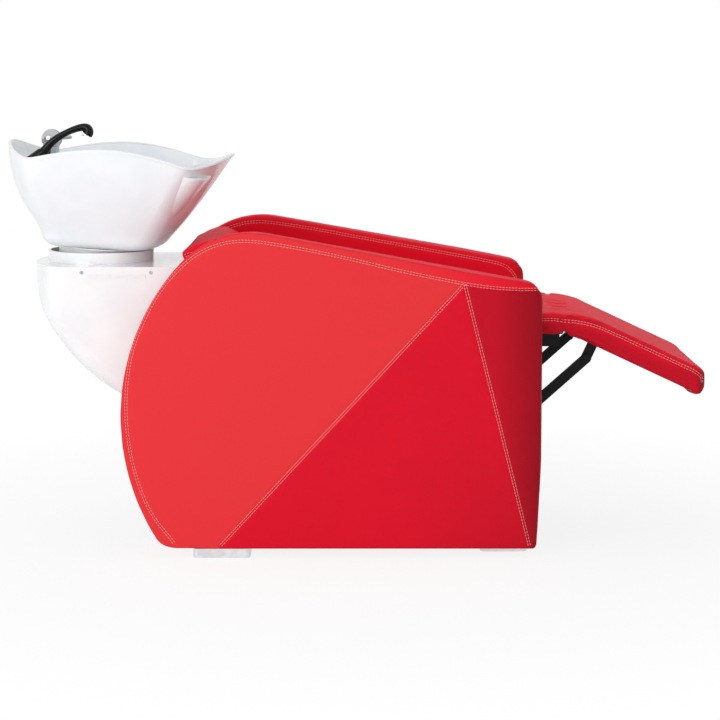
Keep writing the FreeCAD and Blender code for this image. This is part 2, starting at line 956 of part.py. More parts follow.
def strut_pin():
    """Centre of the strut's upper pin, square below the legrest board."""
    along = dim.bracket_pin_along
    drop = dim.bracket_pin_drop
    x = dim.leg_root_x + along * cosine(dim.leg_angle) - drop * sine(dim.leg_angle)
    z = dim.leg_root_z - along * sine(dim.leg_angle) - drop * cosine(dim.leg_angle)
    return x, z


def seat_frame():
    """Side plates under the seat board, with hangers for the torque tube, and three tubes."""
    tube_x, tube_z = tube_centre()
    radius = dim.hanger_radius
    front_low = dim.seat_bottom - dim.plate_height
    back_top = seat_bottom_at(dim.plate_back_x)
    hanger_low = seat_bottom_at(dim.hanger_back_x) - dim.plate_height
    outline = (
        Outline(dim.plate_back_x, back_top - dim.plate_height)
        .line(dim.hanger_back_x, hanger_low)
        .line(tube_x - radius, tube_z)
        .arc(tube_x + radius, tube_z, radius)
        .line(dim.front_cross_x - dim.side_play, front_low)
        .line(dim.plate_front_x, front_low)
        .line(dim.plate_front_x, dim.seat_bottom)
        .line(dim.seat_break_x, dim.seat_bottom)
        .line(dim.plate_back_x, back_top)
        .close()
    )
    bore = dim.torque_tube_radius + dim.running_gap + dim.bush_wall
    low = -dim.plate_inner - dim.plate_thickness
    plate = upright("side_plate", outline, low, -dim.plate_inner, [(tube_x, tube_z, bore)])
    keep("seat_side_plates", both_sides("side_plate_pair", plate))
    side = dim.tube_side
    front = square_tube("seat_front_tube", (dim.front_cross_x, dim.front_cross_x + side),
                        (front_low - side, front_low), dim.arm_inner, dim.tube_wall)
    rear_top = seat_bottom_at(dim.rear_cross_x) - dim.plate_height
    rear = square_tube("seat_rear_tube", (0 * side, side), (-side, 0 * side), dim.arm_inner, dim.tube_wall,
                       -dim.seat_slope, (dim.rear_cross_x, rear_top))
    bar_top = dim.seat_bottom - dim.tube_wall
    bar = square_tube("seat_bar_tube", (dim.front_bar_x, dim.front_bar_x + side), (bar_top - side, bar_top),
                      dim.plate_inner, dim.tube_wall)
    keep("seat_crossbars", group("seat_tubes", front, rear, bar))


# Back


def back():
    half = dim.back_thickness / 2
    outline = (
        Outline(-half, -half)
        .line(dim.back_length, -half)
        .line(dim.back_length, half)
        .arc(-half, half, dim.back_crown_radius)
        .close()
    )
    cushion = upright("back_form", outline, -dim.seat_half_width, dim.seat_half_width)
    turn = half - dim.tube_wall / 2
    round_edges(cushion, turn, cross_edge_at(-half, half))
    round_edges(cushion, turn, cross_edge_at(-half, -half))
    for side in (-dim.seat_half_width, dim.seat_half_width):
        round_edges(cushion, dim.back_edge_round, rim_edge_on(side))
    place(cushion, dim.back_crest_x, 0, dim.back_crest_z, dim.back_angle)
    wide = (-dim.board_half_width, dim.board_half_width)
    board = block("back_board_form", (dim.back_board_start, dim.back_board_end), wide,
                  (-half, dim.back_board_thickness - half))
    x, z = back_point(dim.back_board_start, -half)
    place(board, x, -dim.board_half_width, z, dim.back_angle)
    keep("back_board", board)
    keep("back_cushion", cut("back_pad", cushion, board, sub_parts["seat_cushion"]))
    tubes = []
    side = dim.tube_side
    for name, along in (("high", dim.back_tube_high), ("low", dim.back_tube_low)):
        tubes.append(square_tube(f"back_{name}_tube", (along, along + side), (-half - side, -half),
                                 dim.arm_inner, dim.tube_wall, dim.back_angle,
                                 (dim.back_crest_x, dim.back_crest_z)))
    keep("back_crossbars", group("back_tubes", *tubes))


# Front apron and rear panel


def panels():
    inner = dim.arm_inner
    wide = (dim.side_play - inner, inner - dim.side_play)
    low = dim.foot_height + dim.panel_lift
    apron_x = (dim.apron_x, dim.apron_x + dim.apron_thickness)
    keep("front_apron", block("apron_form", apron_x, wide, (low, dim.apron_top)))
    panel_face = dim.rear_foot_x - dim.base_tube_width / 2
    panel = block("panel_form", (panel_face - dim.panel_thickness, panel_face), wide, (low, dim.panel_top))
    tube_top = dim.foot_height + dim.base_tube_height
    mid_z = (dim.foot_height + tube_top) / 2
    screws = []
    holes = []
    shank = dim.panel_screw_radius / 2
    high_z = dim.panel_top - dim.batten_side
    batten_y = inner - dim.batten_side / 2
    spots = ((dim.panel_screw_y, mid_z, dim.tube_wall), (batten_y, high_z, dim.batten_side / 2))
    for place_name, (y, z, depth) in zip(("low", "high"), spots):
        head = cylinder(f"screw_head_{place_name}", dim.panel_screw_radius, dim.panel_screw_head,
                        panel_face - dim.panel_thickness - dim.panel_screw_head, -y, z, lean=90)
        stem = cylinder(f"screw_stem_{place_name}", shank, dim.panel_thickness + depth,
                        panel_face - dim.panel_thickness, -y, z, lean=90)
        screws.append(fuse(f"screw_{place_name}", head, stem))
        hole = cylinder(f"screw_hole_{place_name}", shank, dim.panel_thickness + depth,
                        panel_face - dim.panel_thickness, -y, z, lean=90)
        holes.append(both_sides(f"screw_holes_{place_name}", hole))
    pairs = [both_sides(f"{item.Name}_pair", item) for item in screws]
    keep("panel_screws", group("panel_screw_set", *pairs))
    keep("rear_access_panel", cut("panel_drilled", panel, *holes))
    side = dim.batten_side
    battens = []
    for name, x, top in (
        ("rear", panel_face, dim.panel_top), ("front", dim.apron_x - side, dim.apron_top),
    ):
        batten = block(f"{name}_batten", (x, x + side), (-inner, side - inner), (tube_top, top))
        battens.append(both_sides(f"{name}_battens", batten))
    keep("panel_battens", cut("battens_drilled", group("batten_set", *battens), holes[1]))
    base = sub_parts["base_crossbars"]
    keep("base_crossbars", cut("base_tubes_drilled", base, holes[0]))
    base.Label = "base_tube_pair"


# Legrest


def leg_point(along, out):
    """A point of the legrest's own frame: along its underside, and out to its top."""
    x = dim.leg_root_x + along * cosine(dim.leg_angle) + out * sine(dim.leg_angle)
    z = dim.leg_root_z - along * sine(dim.leg_angle) + out * cosine(dim.leg_angle)
    return x, z


def legrest():
    fall = tangent(dim.leg_angle)
    top_x, top_z = leg_point(0 * dim.leg_thickness, dim.leg_thickness)
    rear = dim.crease_x + dim.soft_gap
    nose = dim.leg_nose_x
    nose_top = top_z - (nose - top_x) * fall
    lip_z = dim.leg_root_z - (dim.lip_back_x - dim.leg_root_x) * fall
    seat_top = dim.seat_bottom + dim.seat_thickness
    outline = (
        Outline(rear, dim.seat_bottom)
        .line(dim.leg_root_x, dim.leg_root_z)
        .line(dim.lip_back_x, lip_z)
        .line(dim.lip_back_x, dim.lip_bottom_z)
        .line(nose, dim.lip_bottom_z)
        .line(nose, nose_top)
        .line(top_x, top_z)
        .line(rear, seat_top)
        .close()
    )
    body = upright("leg_form", outline, -dim.leg_half_width, dim.leg_half_width)
    round_edges(body, dim.lip_top_round, cross_edge_at(nose, nose_top))
    round_edges(body, dim.lip_front_round, cross_edge_at(nose, dim.lip_bottom_z))
    round_edges(body, dim.lip_back_round, cross_edge_at(dim.lip_back_x, dim.lip_bottom_z))
    round_edges(body, dim.leg_break_round, cross_edge_at(top_x, top_z))
    round_edges(body, dim.crease_round, cross_edge_at(rear, seat_top))
    plan_back = rear - dim.overrun
    plan = flat("leg_plan", rectangle((plan_back, nose), (-dim.leg_half_width, dim.leg_half_width)),
                dim.lip_bottom_z - dim.overrun, seat_top + dim.overrun)
    front_half = number(dim.leg_root_x)
    round_edges(plan, dim.leg_corner_round,
                lambda edge: upright_edge(edge) and edge.CenterOfMass.x > front_half)
    board = doc.addObject("Part::Box", "leg_board_form")
    bind(board, Length=dim.leg_board_length, Width=dim.board_half_width * 2, Height=dim.leg_board_thickness)
    x, z = leg_point(dim.leg_board_start, 0 * dim.leg_thickness)
    place(board, x, -dim.board_half_width, z, dim.leg_angle)
    keep("legrest_board", board)
    keep("legrest_pad", cut("leg_pad", common("leg_rounded", body, plan), board))


def legrest_brackets():
    """An angle under each side of the legrest board, its web square to the board."""
    radius = dim.link_radius
    along = dim.bracket_pin_along
    drop = -dim.bracket_pin_drop
    outline = (
        Outline(along - radius, 0 * radius)
        .line(along - radius, drop)
        .arc(along + radius, drop, radius)
        .line(along + radius, 0 * radius)
        .close()
    )
    outer = -dim.bracket_inner - dim.link_thickness
    hole = dim.strut_bolt_radius + dim.running_gap
    web = upright("bracket_web", outline, outer, -dim.bracket_inner, [(along, drop, hole)])
    half = dim.bracket_flange_length / 2
    flange = block("bracket_flange_form", (along - half, along + half),
                   (outer, dim.bracket_flange - dim.bracket_inner), (-dim.hinge_leaf, 0 * dim.hinge_leaf))
    bracket = place(fuse("bracket_form", web, flange), dim.leg_root_x, 0, dim.leg_root_z, dim.leg_angle)
    keep("legrest_brackets", both_sides("bracket_pair", bracket))
    pin_x, pin_z = strut_pin()
    strut_outer = outer - dim.strut_gap - dim.link_thickness
    nut_inner = dim.bolt_head_height - dim.bracket_inner
    shank = cross_pin("strut_bolt_shank", dim.strut_bolt_radius, pin_x, pin_z,
                      strut_outer - dim.strut_gap, -dim.bracket_inner)
    head = cross_pin("strut_bolt_head", dim.bolt_head_radius, pin_x, pin_z,
                     strut_outer - dim.strut_gap - dim.bolt_head_height, strut_outer - dim.strut_gap)
    nut = cross_pin("strut_bolt_nut", dim.bolt_head_radius, pin_x, pin_z, -dim.bracket_inner, nut_inner)
    keep("strut_bolts", both_sides("strut_bolt_pair", fuse("strut_bolt", shank, head, nut)))


def linkage():
    """A strut on each side, parallel to the line of the hinge and tube, and a crank on the tube."""
    pin_x, pin_z = strut_pin()
    outer = -dim.bracket_inner - dim.link_thickness - dim.strut_gap
    hole = dim.strut_bolt_radius + dim.running_gap
    low_hole = dim.crank_pin_radius + dim.crank_pin_gap
    strut = upright("strut_form", link_outline(dim.strut_length, dim.link_radius), outer - dim.link_thickness,
                    outer, [(0 * hole, 0 * hole, hole), (dim.strut_length, 0 * hole, low_hole)])
    place(strut, pin_x, 0, pin_z, 180 - dim.strut_angle)
    keep("legrest_struts", both_sides("strut_pair", strut))
    across = pin_x - dim.hinge_x
    down = dim.hinge_z - pin_z
    length = root(across * across + down * down)
    tube_x, tube_z = tube_centre()
    arm = upright("crank_plate", link_outline(length, dim.link_radius),
                  outer + dim.strut_gap, -dim.bracket_inner)
    boss = cylinder("crank_boss", dim.hanger_radius - dim.link_thickness, dim.link_thickness, 0 * length,
                    -dim.bracket_inner, 0 * length, roll=90)
    pin = cylinder("crank_pin", dim.crank_pin_radius, dim.link_thickness + dim.strut_gap * 2, length,
                   outer + dim.strut_gap, 0 * length, roll=90)
    head = cylinder("crank_pin_head", dim.bolt_head_radius, dim.bolt_head_height, length,
                    outer - dim.link_thickness - dim.strut_gap, 0 * length, roll=90)
    bore = cylinder("crank_bore", dim.torque_tube_radius, dim.link_thickness, 0 * length,
                    -dim.bracket_inner, 0 * length, roll=90)
    arm_form = cut("crank_form", fuse("crank_solid", arm, boss, pin, head), bore)
    place(arm_form, tube_x, 0, tube_z, slope_of(down, across))
    keep("crank_arms", both_sides("crank_pair", arm_form))
    end = dim.bracket_inner + dim.link_thickness
    tube = cross_pin("torque_tube_outer", dim.torque_tube_radius, tube_x, tube_z, -end, end)
    hollow = cross_pin("torque_tube_inner", dim.torque_tube_radius - dim.tube_wall, tube_x, tube_z, -end, end)
    keep("torque_tube", cut("torque_tube_form", tube, hollow))
    bush_low = -dim.plate_inner - dim.plate_thickness - dim.bush_play
    bush_high = dim.bush_play - dim.plate_inner
    ring = dim.torque_tube_radius + dim.running_gap
    bush = cut(
        "bush_form",
        cross_pin("bush_outer", ring + dim.bush_wall, tube_x, tube_z, bush_low, bush_high),
        cross_pin("bush_inner", ring, tube_x, tube_z, bush_low, bush_high),
    )
    keep("tube_bushes", both_sides("bush_pair", bush))


def hinges():
    """Two hinges at the crease: outer knuckles on the seat bar, a middle one on the legrest."""
    x = dim.hinge_x
    z = dim.hinge_z
    knuckle = dim.hinge_knuckle
    first = -dim.hinge_inner - knuckle
    third = first - knuckle * 3
    spans = ((first, first + knuckle - dim.side_gap), (third, third + knuckle - dim.side_gap))
    bar_x = dim.front_bar_x + dim.tube_side
    fixed = []
    for place_name, (low, high) in zip(("inner", "outer"), spans):
        ring = cross_pin(f"knuckle_{place_name}", dim.hinge_radius, x, z, low, high)
        leaf = block(f"leaf_{place_name}", (bar_x, x), (low, high), (z - dim.hinge_radius, z))
        bore = cross_pin(f"knuckle_bore_{place_name}", dim.hinge_pin_radius, x, z, low, high)
        fixed.append(cut(f"fixed_{place_name}", fuse(f"knuckle_leaf_{place_name}", ring, leaf), bore))
    keep("seat_hinge_leaves", both_sides("fixed_leaves", group("fixed_knuckles", *fixed)))
    low = spans[1][1] + dim.side_gap * 2
    high = first - dim.side_gap
    root_x = dim.leg_root_x
    slack = dim.soft_gap
    reach_x, reach_z = leg_point(dim.hinge_leaf_reach, -slack)
    reach_low_x, reach_low_z = leg_point(dim.hinge_leaf_reach, -slack - dim.hinge_leaf)
    outline = (
        Outline(x, z)
        .line(root_x - dim.hinge_leaf, dim.leg_root_z - dim.hinge_leaf)
        .line(reach_low_x, reach_low_z)
        .line(reach_x, reach_z)
        .line(root_x, dim.leg_root_z - slack)
        .line(x + dim.hinge_radius / 2, z + dim.hinge_radius / 2)
        .close()
    )
    leaf = upright("moving_leaf", outline, low, high)
    ring = cross_pin("moving_knuckle", dim.hinge_radius, x, z, low, high)
    bore = cross_pin("moving_bore", dim.hinge_pin_radius + dim.running_gap, x, z, low, high)
    moving = cut("moving_form", fuse("moving_solid", leaf, ring), bore)
    keep("legrest_hinge_leaves", both_sides("moving_leaves", moving))
    pin = cross_pin("hinge_pin", dim.hinge_pin_radius, x, z, spans[1][0], spans[0][1])
    keep("hinge_pins", both_sides("hinge_pin_pair", pin))


# Support shell and its steel inside


def shell_solid(name, inset, top):
    """The shell's closed form, drawn in by an inset: a quarter round with a curved end."""
    radius = dim.shell_arc_radius - inset
    front = dim.shell_front_x
    rise = dim.shell_arc_z - top
    end_x = dim.shell_arc_x - root(radius * radius - rise * rise)
    reach = front - dim.shell_arc_x
    low_z = dim.shell_arc_z - root(radius * radius - reach * reach)
    outline = (
        Outline(end_x, top)
        .arc(front, low_z, radius)
        .line(front, top)
        .close()
    )
    half = dim.shell_half_width - inset
    body = upright(name, outline, -half, half)
    middle_z = number((low_z + top) / 2)
    doc.recompute()

    def curved(edge):
        flat_side = edge.BoundBox.YLength < number(dim.running_gap)
        wide = edge.BoundBox.XLength > number(dim.shell_corner)
        tall = edge.BoundBox.ZLength > number(dim.shell_corner)
        return flat_side and wide and tall and edge.CenterOfMass.z < middle_z

    round_edges(body, dim.shell_edge_round - inset, curved)
    plan = flat(name + "_plan", shell_plan(inset), low_z - dim.overrun, top)
    return common(name + "_form", body, plan)


def shell_plan(inset):
    """The shell from above: straight sides, round corners and an arced end."""
    corner = dim.shell_corner - inset
    end = dim.shell_end_x + inset
    half = dim.shell_half_width - inset
    inset_x = dim.shell_corner_inset_x - inset
    centre_x = end + inset_x
    centre_y = half - corner
    arc = (centre_y * centre_y + inset_x * inset_x - corner * corner) / ((inset_x - corner) * 2)
    share = corner / (arc - corner)
    touch_x = centre_x - (end + arc - centre_x) * share
    touch_y = centre_y + centre_y * share
    front = dim.shell_front_x + dim.overrun
    return (
        Outline(front, half)
        .line(centre_x, half)
        .arc(touch_x, touch_y, corner)
        .arc(touch_x, -touch_y, arc)
        .arc(centre_x, -half, corner)
        .line(front, -half)
        .close()
    )


def shell():
    none = 0 * dim.shell_wall
    skirt_low = dim.cover_top - dim.cover_skirt
    lip_top = skirt_low + dim.cover_lip
    wide = (-dim.shell_half_width * 2, dim.shell_half_width * 2)
    long = (dim.shell_end_x * 2, 0 * dim.shell_end_x)
    full = shell_solid("shell_full", none, dim.cover_top)
    inside = shell_solid("shell_inside", dim.shell_wall, dim.cover_top)
    step = shell_solid("shell_step", dim.cover_wall, dim.cover_top)
    low = block("shell_low_zone", long, wide, (0 * lip_top, skirt_low))
    lip = block("shell_lip_zone", long, wide, (skirt_low - dim.cover_lip, lip_top))
    form = fuse("shell_outside", common("shell_low", full, low), common("shell_lip", step, lip))
    screws = cover_screws()
    keep("lower_shell", cut("lower_shell_form", form, inside, screws))
    high = block("cover_zone", long, wide, (skirt_low, dim.cover_top))
    room = block("cover_room", long, wide, (skirt_low, dim.cover_top - dim.cover_wall))
    hole = cylinder("cover_hole", dim.cover_hole_radius, dim.cover_skirt, dim.collar_x, 0, skirt_low)
    above = common("cover_outside", full, high)
    cover = cut("cover_form", above, common("cover_inside", step, room), hole, screws)
    keep("shell_cover", cover)
    strip = block("trim_strip", (dim.trim_back_x, dim.trim_back_x + dim.trim_length),
                  (-dim.shell_half_width - dim.trim_thickness, -dim.shell_half_width),
                  (dim.trim_z, dim.trim_z + dim.trim_height))
    keep("trim_strips", both_sides("trim_pair", strip))


def cover_screws():
    """Two domed screws on each side, through the cover's skirt into the lip of the shell."""
    screws = []
    for name, x in (("rear", dim.cover_screw_rear_x), ("front", dim.cover_screw_front_x)):
        head_out = dim.cover_screw_radius / 2
        head = cross_pin(f"cover_screw_head_{name}", dim.cover_screw_radius, x, dim.cover_screw_z,
                         -dim.shell_half_width - head_out, -dim.shell_half_width)
        stem = cross_pin(f"cover_screw_stem_{name}", head_out, x, dim.cover_screw_z,
                         -dim.shell_half_width, dim.shell_wall - dim.shell_half_width)
        screws.append(both_sides(f"cover_screw_pair_{name}", fuse(f"cover_screw_{name}", head, stem)))
    return keep("cover_screws", group("cover_screw_set", *screws))


def shell_support():
    """A tube across the armrests, two arms into the shell, and a plate with posts for the cover."""
    side = dim.support_tube_side
    cross_top = dim.support_cross_z + side
    tube = square_tube("support_cross_tube", (dim.support_cross_x, dim.support_cross_x + side),
                       (dim.support_cross_z, cross_top), dim.arm_inner, dim.tube_wall)
    keep("support_crossbar", tube)
    inner = -dim.support_arm_inner
    outer = inner - dim.support_arm_width
    arm_top = cross_top + dim.support_arm_height
    arm = block("support_arm", (dim.support_arm_end_x, dim.support_cross_x + side), (outer, inner),
                (cross_top, arm_top))
    wall = dim.tube_wall
    hollow = block("support_arm_hollow", (dim.support_arm_end_x, dim.support_cross_x + side),
                   (outer + wall, inner - wall), (cross_top + wall, arm_top - wall))
    keep("support_arms", both_sides("support_arm_pair", cut("support_arm_tube", arm, hollow)))
    plate_top = arm_top + dim.support_plate_thickness
    ends = (dim.support_arm_end_x, dim.support_plate_front_x)
    waste_x, waste_z = basin_point(dim.drain_x, -dim.drain_tail_end)
    outline = rectangle(ends, (outer, -outer))
    plate = flat("support_plate_form", outline, arm_top, plate_top,
                 [(waste_x, 0 * waste_z, dim.support_hole_radius)])
    post_top = dim.cover_top - dim.cover_wall
    post = dim.cover_post
    posts = []
    for name, x in (("rear", ends[0]), ("front", ends[1] - post)):
        post_form = block(f"cover_post_{name}", (x, x + post), (outer, outer + post), (plate_top, post_top))
        posts.append(post_form)
    sides = [both_sides(item.Name + "_pair", item) for item in posts]
    keep("support_plate", fuse("support_plate_posts", plate, *sides))
    return plate_top


def basin_point(across, up):
    """A point of the basin's own frame in the whole object's."""
    x = dim.basin_x + across * cosine(dim.basin_lean) + up * sine(dim.basin_lean)
    z = dim.basin_z - across * sine(dim.basin_lean) + up * cosine(dim.basin_lean)
    return x, z


def tilt_bearing(plate_top):
    """The collar ring, two ears on the support plate and a stub pin through each."""
    ring = dim.collar_radius
    wall = dim.collar_wall
    collar = turned("collar_form", (
        Outline(ring - wall, dim.cover_top)
        .line(ring, dim.cover_top)
        .line(ring, dim.collar_top)
        .line(ring - wall, dim.collar_top)
        .close()
    ))
    keep("collar_ring", place(collar, dim.collar_x, 0, 0))
    x, z = basin_point(0 * dim.pivot_drop, -dim.pivot_drop)
    half = dim.ear_foot_half
    radius = dim.ear_radius
    outline = (
        Outline(x - half, plate_top)
        .line(x + half, plate_top)
        .line(x + radius, z)
        .arc(x - radius, z, radius)
        .close()
    )
    outer = -dim.ear_inner - dim.ear_thickness
    ear = upright("ear_plate", outline, outer, -dim.ear_inner, [(x, z, dim.tilt_pin_radius)])
    foot = block("ear_foot", (x - half, x + half), (outer, dim.ear_foot_width - dim.ear_inner),
                 (plate_top, plate_top + dim.ear_foot_thickness))
    keep("tilt_ears", both_sides("ear_pair", fuse("ear_form", ear, foot)))
    lug_inner = dim.side_gap + dim.lug_thickness - dim.ear_inner
    pin = cross_pin("tilt_pin", dim.tilt_pin_radius, x, z, outer - dim.tilt_pin_overrun, lug_inner)
    keep("tilt_pins", both_sides("tilt_pin_pair", pin))


# Basin and what moves with it


def lean_with_basin(item):
    return place(item, dim.basin_x, 0, dim.basin_z, dim.basin_lean)


def basin_section(name, z, back, front, side, inset, corner):
    """A plan outline with four long arcs joined by round corners, all tangent."""
    side_in = dim.basin_side_inset - dim.basin_corner + corner
    rise = side - side_in
    back_x = -back + inset
    front_x = front - inset
    half = (front_x - back_x) / 2
    middle = (front_x + back_x) / 2
    long_radius = (half * half + side_in * side_in - corner * corner) / ((side_in - corner) * 2)
    long_share = corner / (long_radius - corner)
    along = half + half * long_share
    out = side - long_radius + (rise - side + long_radius) * (1 + long_share)
    end_radius = (rise * rise + inset * inset - corner * corner) / ((inset - corner) * 2)
    end_share = corner / (end_radius - corner)
    reach = inset + (inset - end_radius) * end_share
    width = rise * (1 + end_share)
    end_front = front - reach
    end_back = reach - back
    outline = (
        Outline(end_front, -width)
        .arc(end_front, width, end_radius)
        .arc(middle + along, out, corner)
        .arc(middle - along, out, long_radius)
        .arc(end_back, width, corner)
        .arc(end_back, -width, end_radius)
        .arc(middle - along, -out, corner)
        .arc(middle + along, -out, long_radius)
        .close(corner)
    )
    sketch = doc.addObject("Sketcher::SketchObject", name)
    draw(sketch, outline)
    return place(sketch, 0, 0, z)


def loft(name, sections):
    item = doc.addObject("Part::Loft", name)
    item.Sections = sections
    item.Solid = True
    return item


def basin_wall(name, wall):
    """The basin's form from base to above the rim, drawn in by a wall."""
    sections = []
    levels = zip(LEVEL_SHARES, BACK_SHARES, FRONT_SHARES, SIDE_SHARES)
    for place_number, (level, back_share, front_share, side_share) in enumerate(levels):
        inset = dim.basin_base_inset + (dim.basin_rim_inset - dim.basin_base_inset) * level - wall
        sections.append(basin_section(
            f"{name}_{place_number}", dim.basin_depth * level,
            dim.basin_base_half + dim.basin_back_growth * back_share - wall,
            dim.basin_base_half + dim.basin_front_growth * front_share - wall,
            dim.basin_base_side + dim.basin_side_growth * side_share - wall,
            inset, dim.basin_corner - wall,
        ))
    return loft(name, sections)


def rim_cutter():
    """Everything above the rim: level along both middle lines and falling toward the four corners."""
    reach_x = number(dim.rim_half_length) * 2
    reach_y = number(dim.rim_half_width) * 2
    top = number(dim.rim_top_z)
    drop = number(dim.rim_corner_drop)

    def height(x_share, y_share):
        return top - drop * x_share * x_share * y_share * y_share

    surface = Part.BezierSurface()
    surface.increase(2, 2)
    edge = 2
    end_z = height(edge, edge)
    middle_x = 2 * height(0, edge) - end_z
    middle_y = 2 * height(edge, 0) - end_z
    centre = 4 * height(0, 0) - middle_x - middle_y - end_z
    pole_z = {(0, 0): centre, (0, 1): middle_x, (1, 0): middle_y, (1, 1): end_z}
    for row, x in enumerate((-reach_x, 0, reach_x), start=1):
        for column, y in enumerate((-reach_y, 0, reach_y), start=1):
            z = pole_z[(abs(row - 2), abs(column - 2))]
            surface.setPole(row, column, Vector(x + number(dim.rim_centre_x), y, z))
    item = doc.addObject("Part::Feature", "rim_cutter")
    item.Shape = surface.toShape().extrude(Vector(0, 0, 2 * number(dim.basin_depth)))
    return item


def bowl_form(name, wall, floor, top):
    """The bowl in front of the deck: it narrows to its floor. A wall moves all its sides out."""
    sections = []
    corner = dim.basin_corner - dim.basin_wall
    for place_number, (level, front_share, side_share) in enumerate(
        zip(BOWL_LEVEL_SHARES, BOWL_FRONT_SHARES, BOWL_SIDE_SHARES)
    ):
        z = floor + (top - floor) * level
        share = z / dim.basin_depth
        front = wall_growth(share, FRONT_SHARES, dim.basin_base_half, dim.basin_front_growth) * front_share
        side = wall_growth(share, SIDE_SHARES, dim.basin_base_side, dim.basin_side_growth) * side_share
        back = dim.bowl_back_low + (dim.bowl_back_high - dim.bowl_back_low) * level
        sections.append(basin_section(
            f"{name}_{place_number}", z, back + wall, front - dim.basin_wall + wall,
            side - dim.basin_wall + wall, dim.basin_base_inset - dim.basin_wall, corner,
        ))
    return loft(name, sections)


def wall_growth(share, shares, base, growth):
    """Size of the basin's outside at a share of its depth, in straight steps between levels."""
    for place_number in range(1, len(LEVEL_SHARES)):
        low = LEVEL_SHARES[place_number - 1]
        high = LEVEL_SHARES[place_number]
        if number(share) <= high:
            step = shares[place_number] - shares[place_number - 1]
            return base + growth * (shares[place_number - 1] + (share - low) * (step / (high - low)))
    return base + growth


def basin():
    outside = basin_wall("basin_outside", 0 * dim.basin_wall)
    inside = basin_wall("basin_inside", dim.basin_wall)
    reach = dim.basin_depth * 2
    wide = (-reach, reach)
    above_deck = block("basin_above_deck", wide, wide, (dim.deck_z, reach))
    below_deck = block("basin_below_deck", wide, wide, (-dim.overrun, dim.deck_z - dim.basin_wall))
    bowl = bowl_form("bowl", 0 * dim.basin_wall, dim.bowl_floor, dim.deck_z)
    bowl_back = bowl_form("bowl_shell", dim.basin_wall, dim.bowl_floor - dim.basin_wall, dim.deck_z)
    front_side = block("bowl_front_side", (0 * reach, reach), wide, (dim.bowl_floor - dim.basin_wall, reach))
    service = cut("basin_service", common("basin_lower_room", inside, below_deck), bowl_back, front_side)
    upper = common("basin_upper_room", inside, above_deck)
    cover = block("deck_lap", wide, wide, (dim.deck_z, dim.deck_z + dim.drain_flange_height))
    bowl_top = common("bowl_lap", inside, cover)
    room = fuse("basin_room", common("bowl_inside", bowl, inside), upper, bowl_top)
    drain = cylinder("drain_hole", dim.drain_hole_radius, dim.bowl_floor + dim.overrun, dim.drain_x, 0, 0)
    mixer_hole = cylinder("mixer_hole", dim.mixer_hole_radius, dim.overrun * 2, -dim.mixer_back, dim.mixer_y,
                          dim.deck_z - dim.overrun)
    hose_x, hose_z = shower_axis_at_deck()
    hose_hole = cylinder("hose_hole", dim.holder_top_radius - dim.holder_flange, dim.overrun * 2, hose_x,
                         dim.shower_y, hose_z - dim.overrun)
    form = cut("basin_form", outside, rim_cutter(), service, room, drain, mixer_hole, hose_hole)
    keep("basin", lean_with_basin(form))


def basin_mount():
    """The neck under the base, and the saddle whose lugs hang on the tilt pins."""
    neck = dim.neck_radius
    flange = dim.neck_flange
    inner = neck - dim.neck_wall
    ring = turned("neck_form", (
        Outline(inner, -dim.neck_depth)
        .line(neck, -dim.neck_depth)
        .line(neck, -flange)
        .line(dim.neck_flange_radius, -flange)
        .line(dim.neck_flange_radius, 0 * flange)
        .line(inner, 0 * flange)
        .close()
    ))
    keep("basin_neck", lean_with_basin(ring))
    top = dim.bowl_floor - dim.basin_wall
    low = top - dim.saddle_thickness
    half = dim.saddle_half_width
    plate = flat("saddle_plate", rectangle((-dim.saddle_back, dim.saddle_front), (-half, half)), low, top,
                 [(dim.drain_x, 0 * half, dim.drain_hole_radius + dim.side_play)])
    radius = dim.lug_radius
    drop = -dim.pivot_drop
    outline = (
        Outline(-radius, low)
        .line(-radius, drop)
        .arc(radius, drop, radius)
        .line(radius, low)
        .close()
    )
    lug_outer = dim.side_gap - dim.ear_inner
    lug = upright("saddle_lug", outline, lug_outer, lug_outer + dim.lug_thickness,
                  [(0 * drop, drop, dim.tilt_pin_radius + dim.running_gap)])
    saddle = fuse("saddle_form", plate, lug, mirror("saddle_lug_other", lug))
    keep("tilt_saddle", lean_with_basin(saddle))


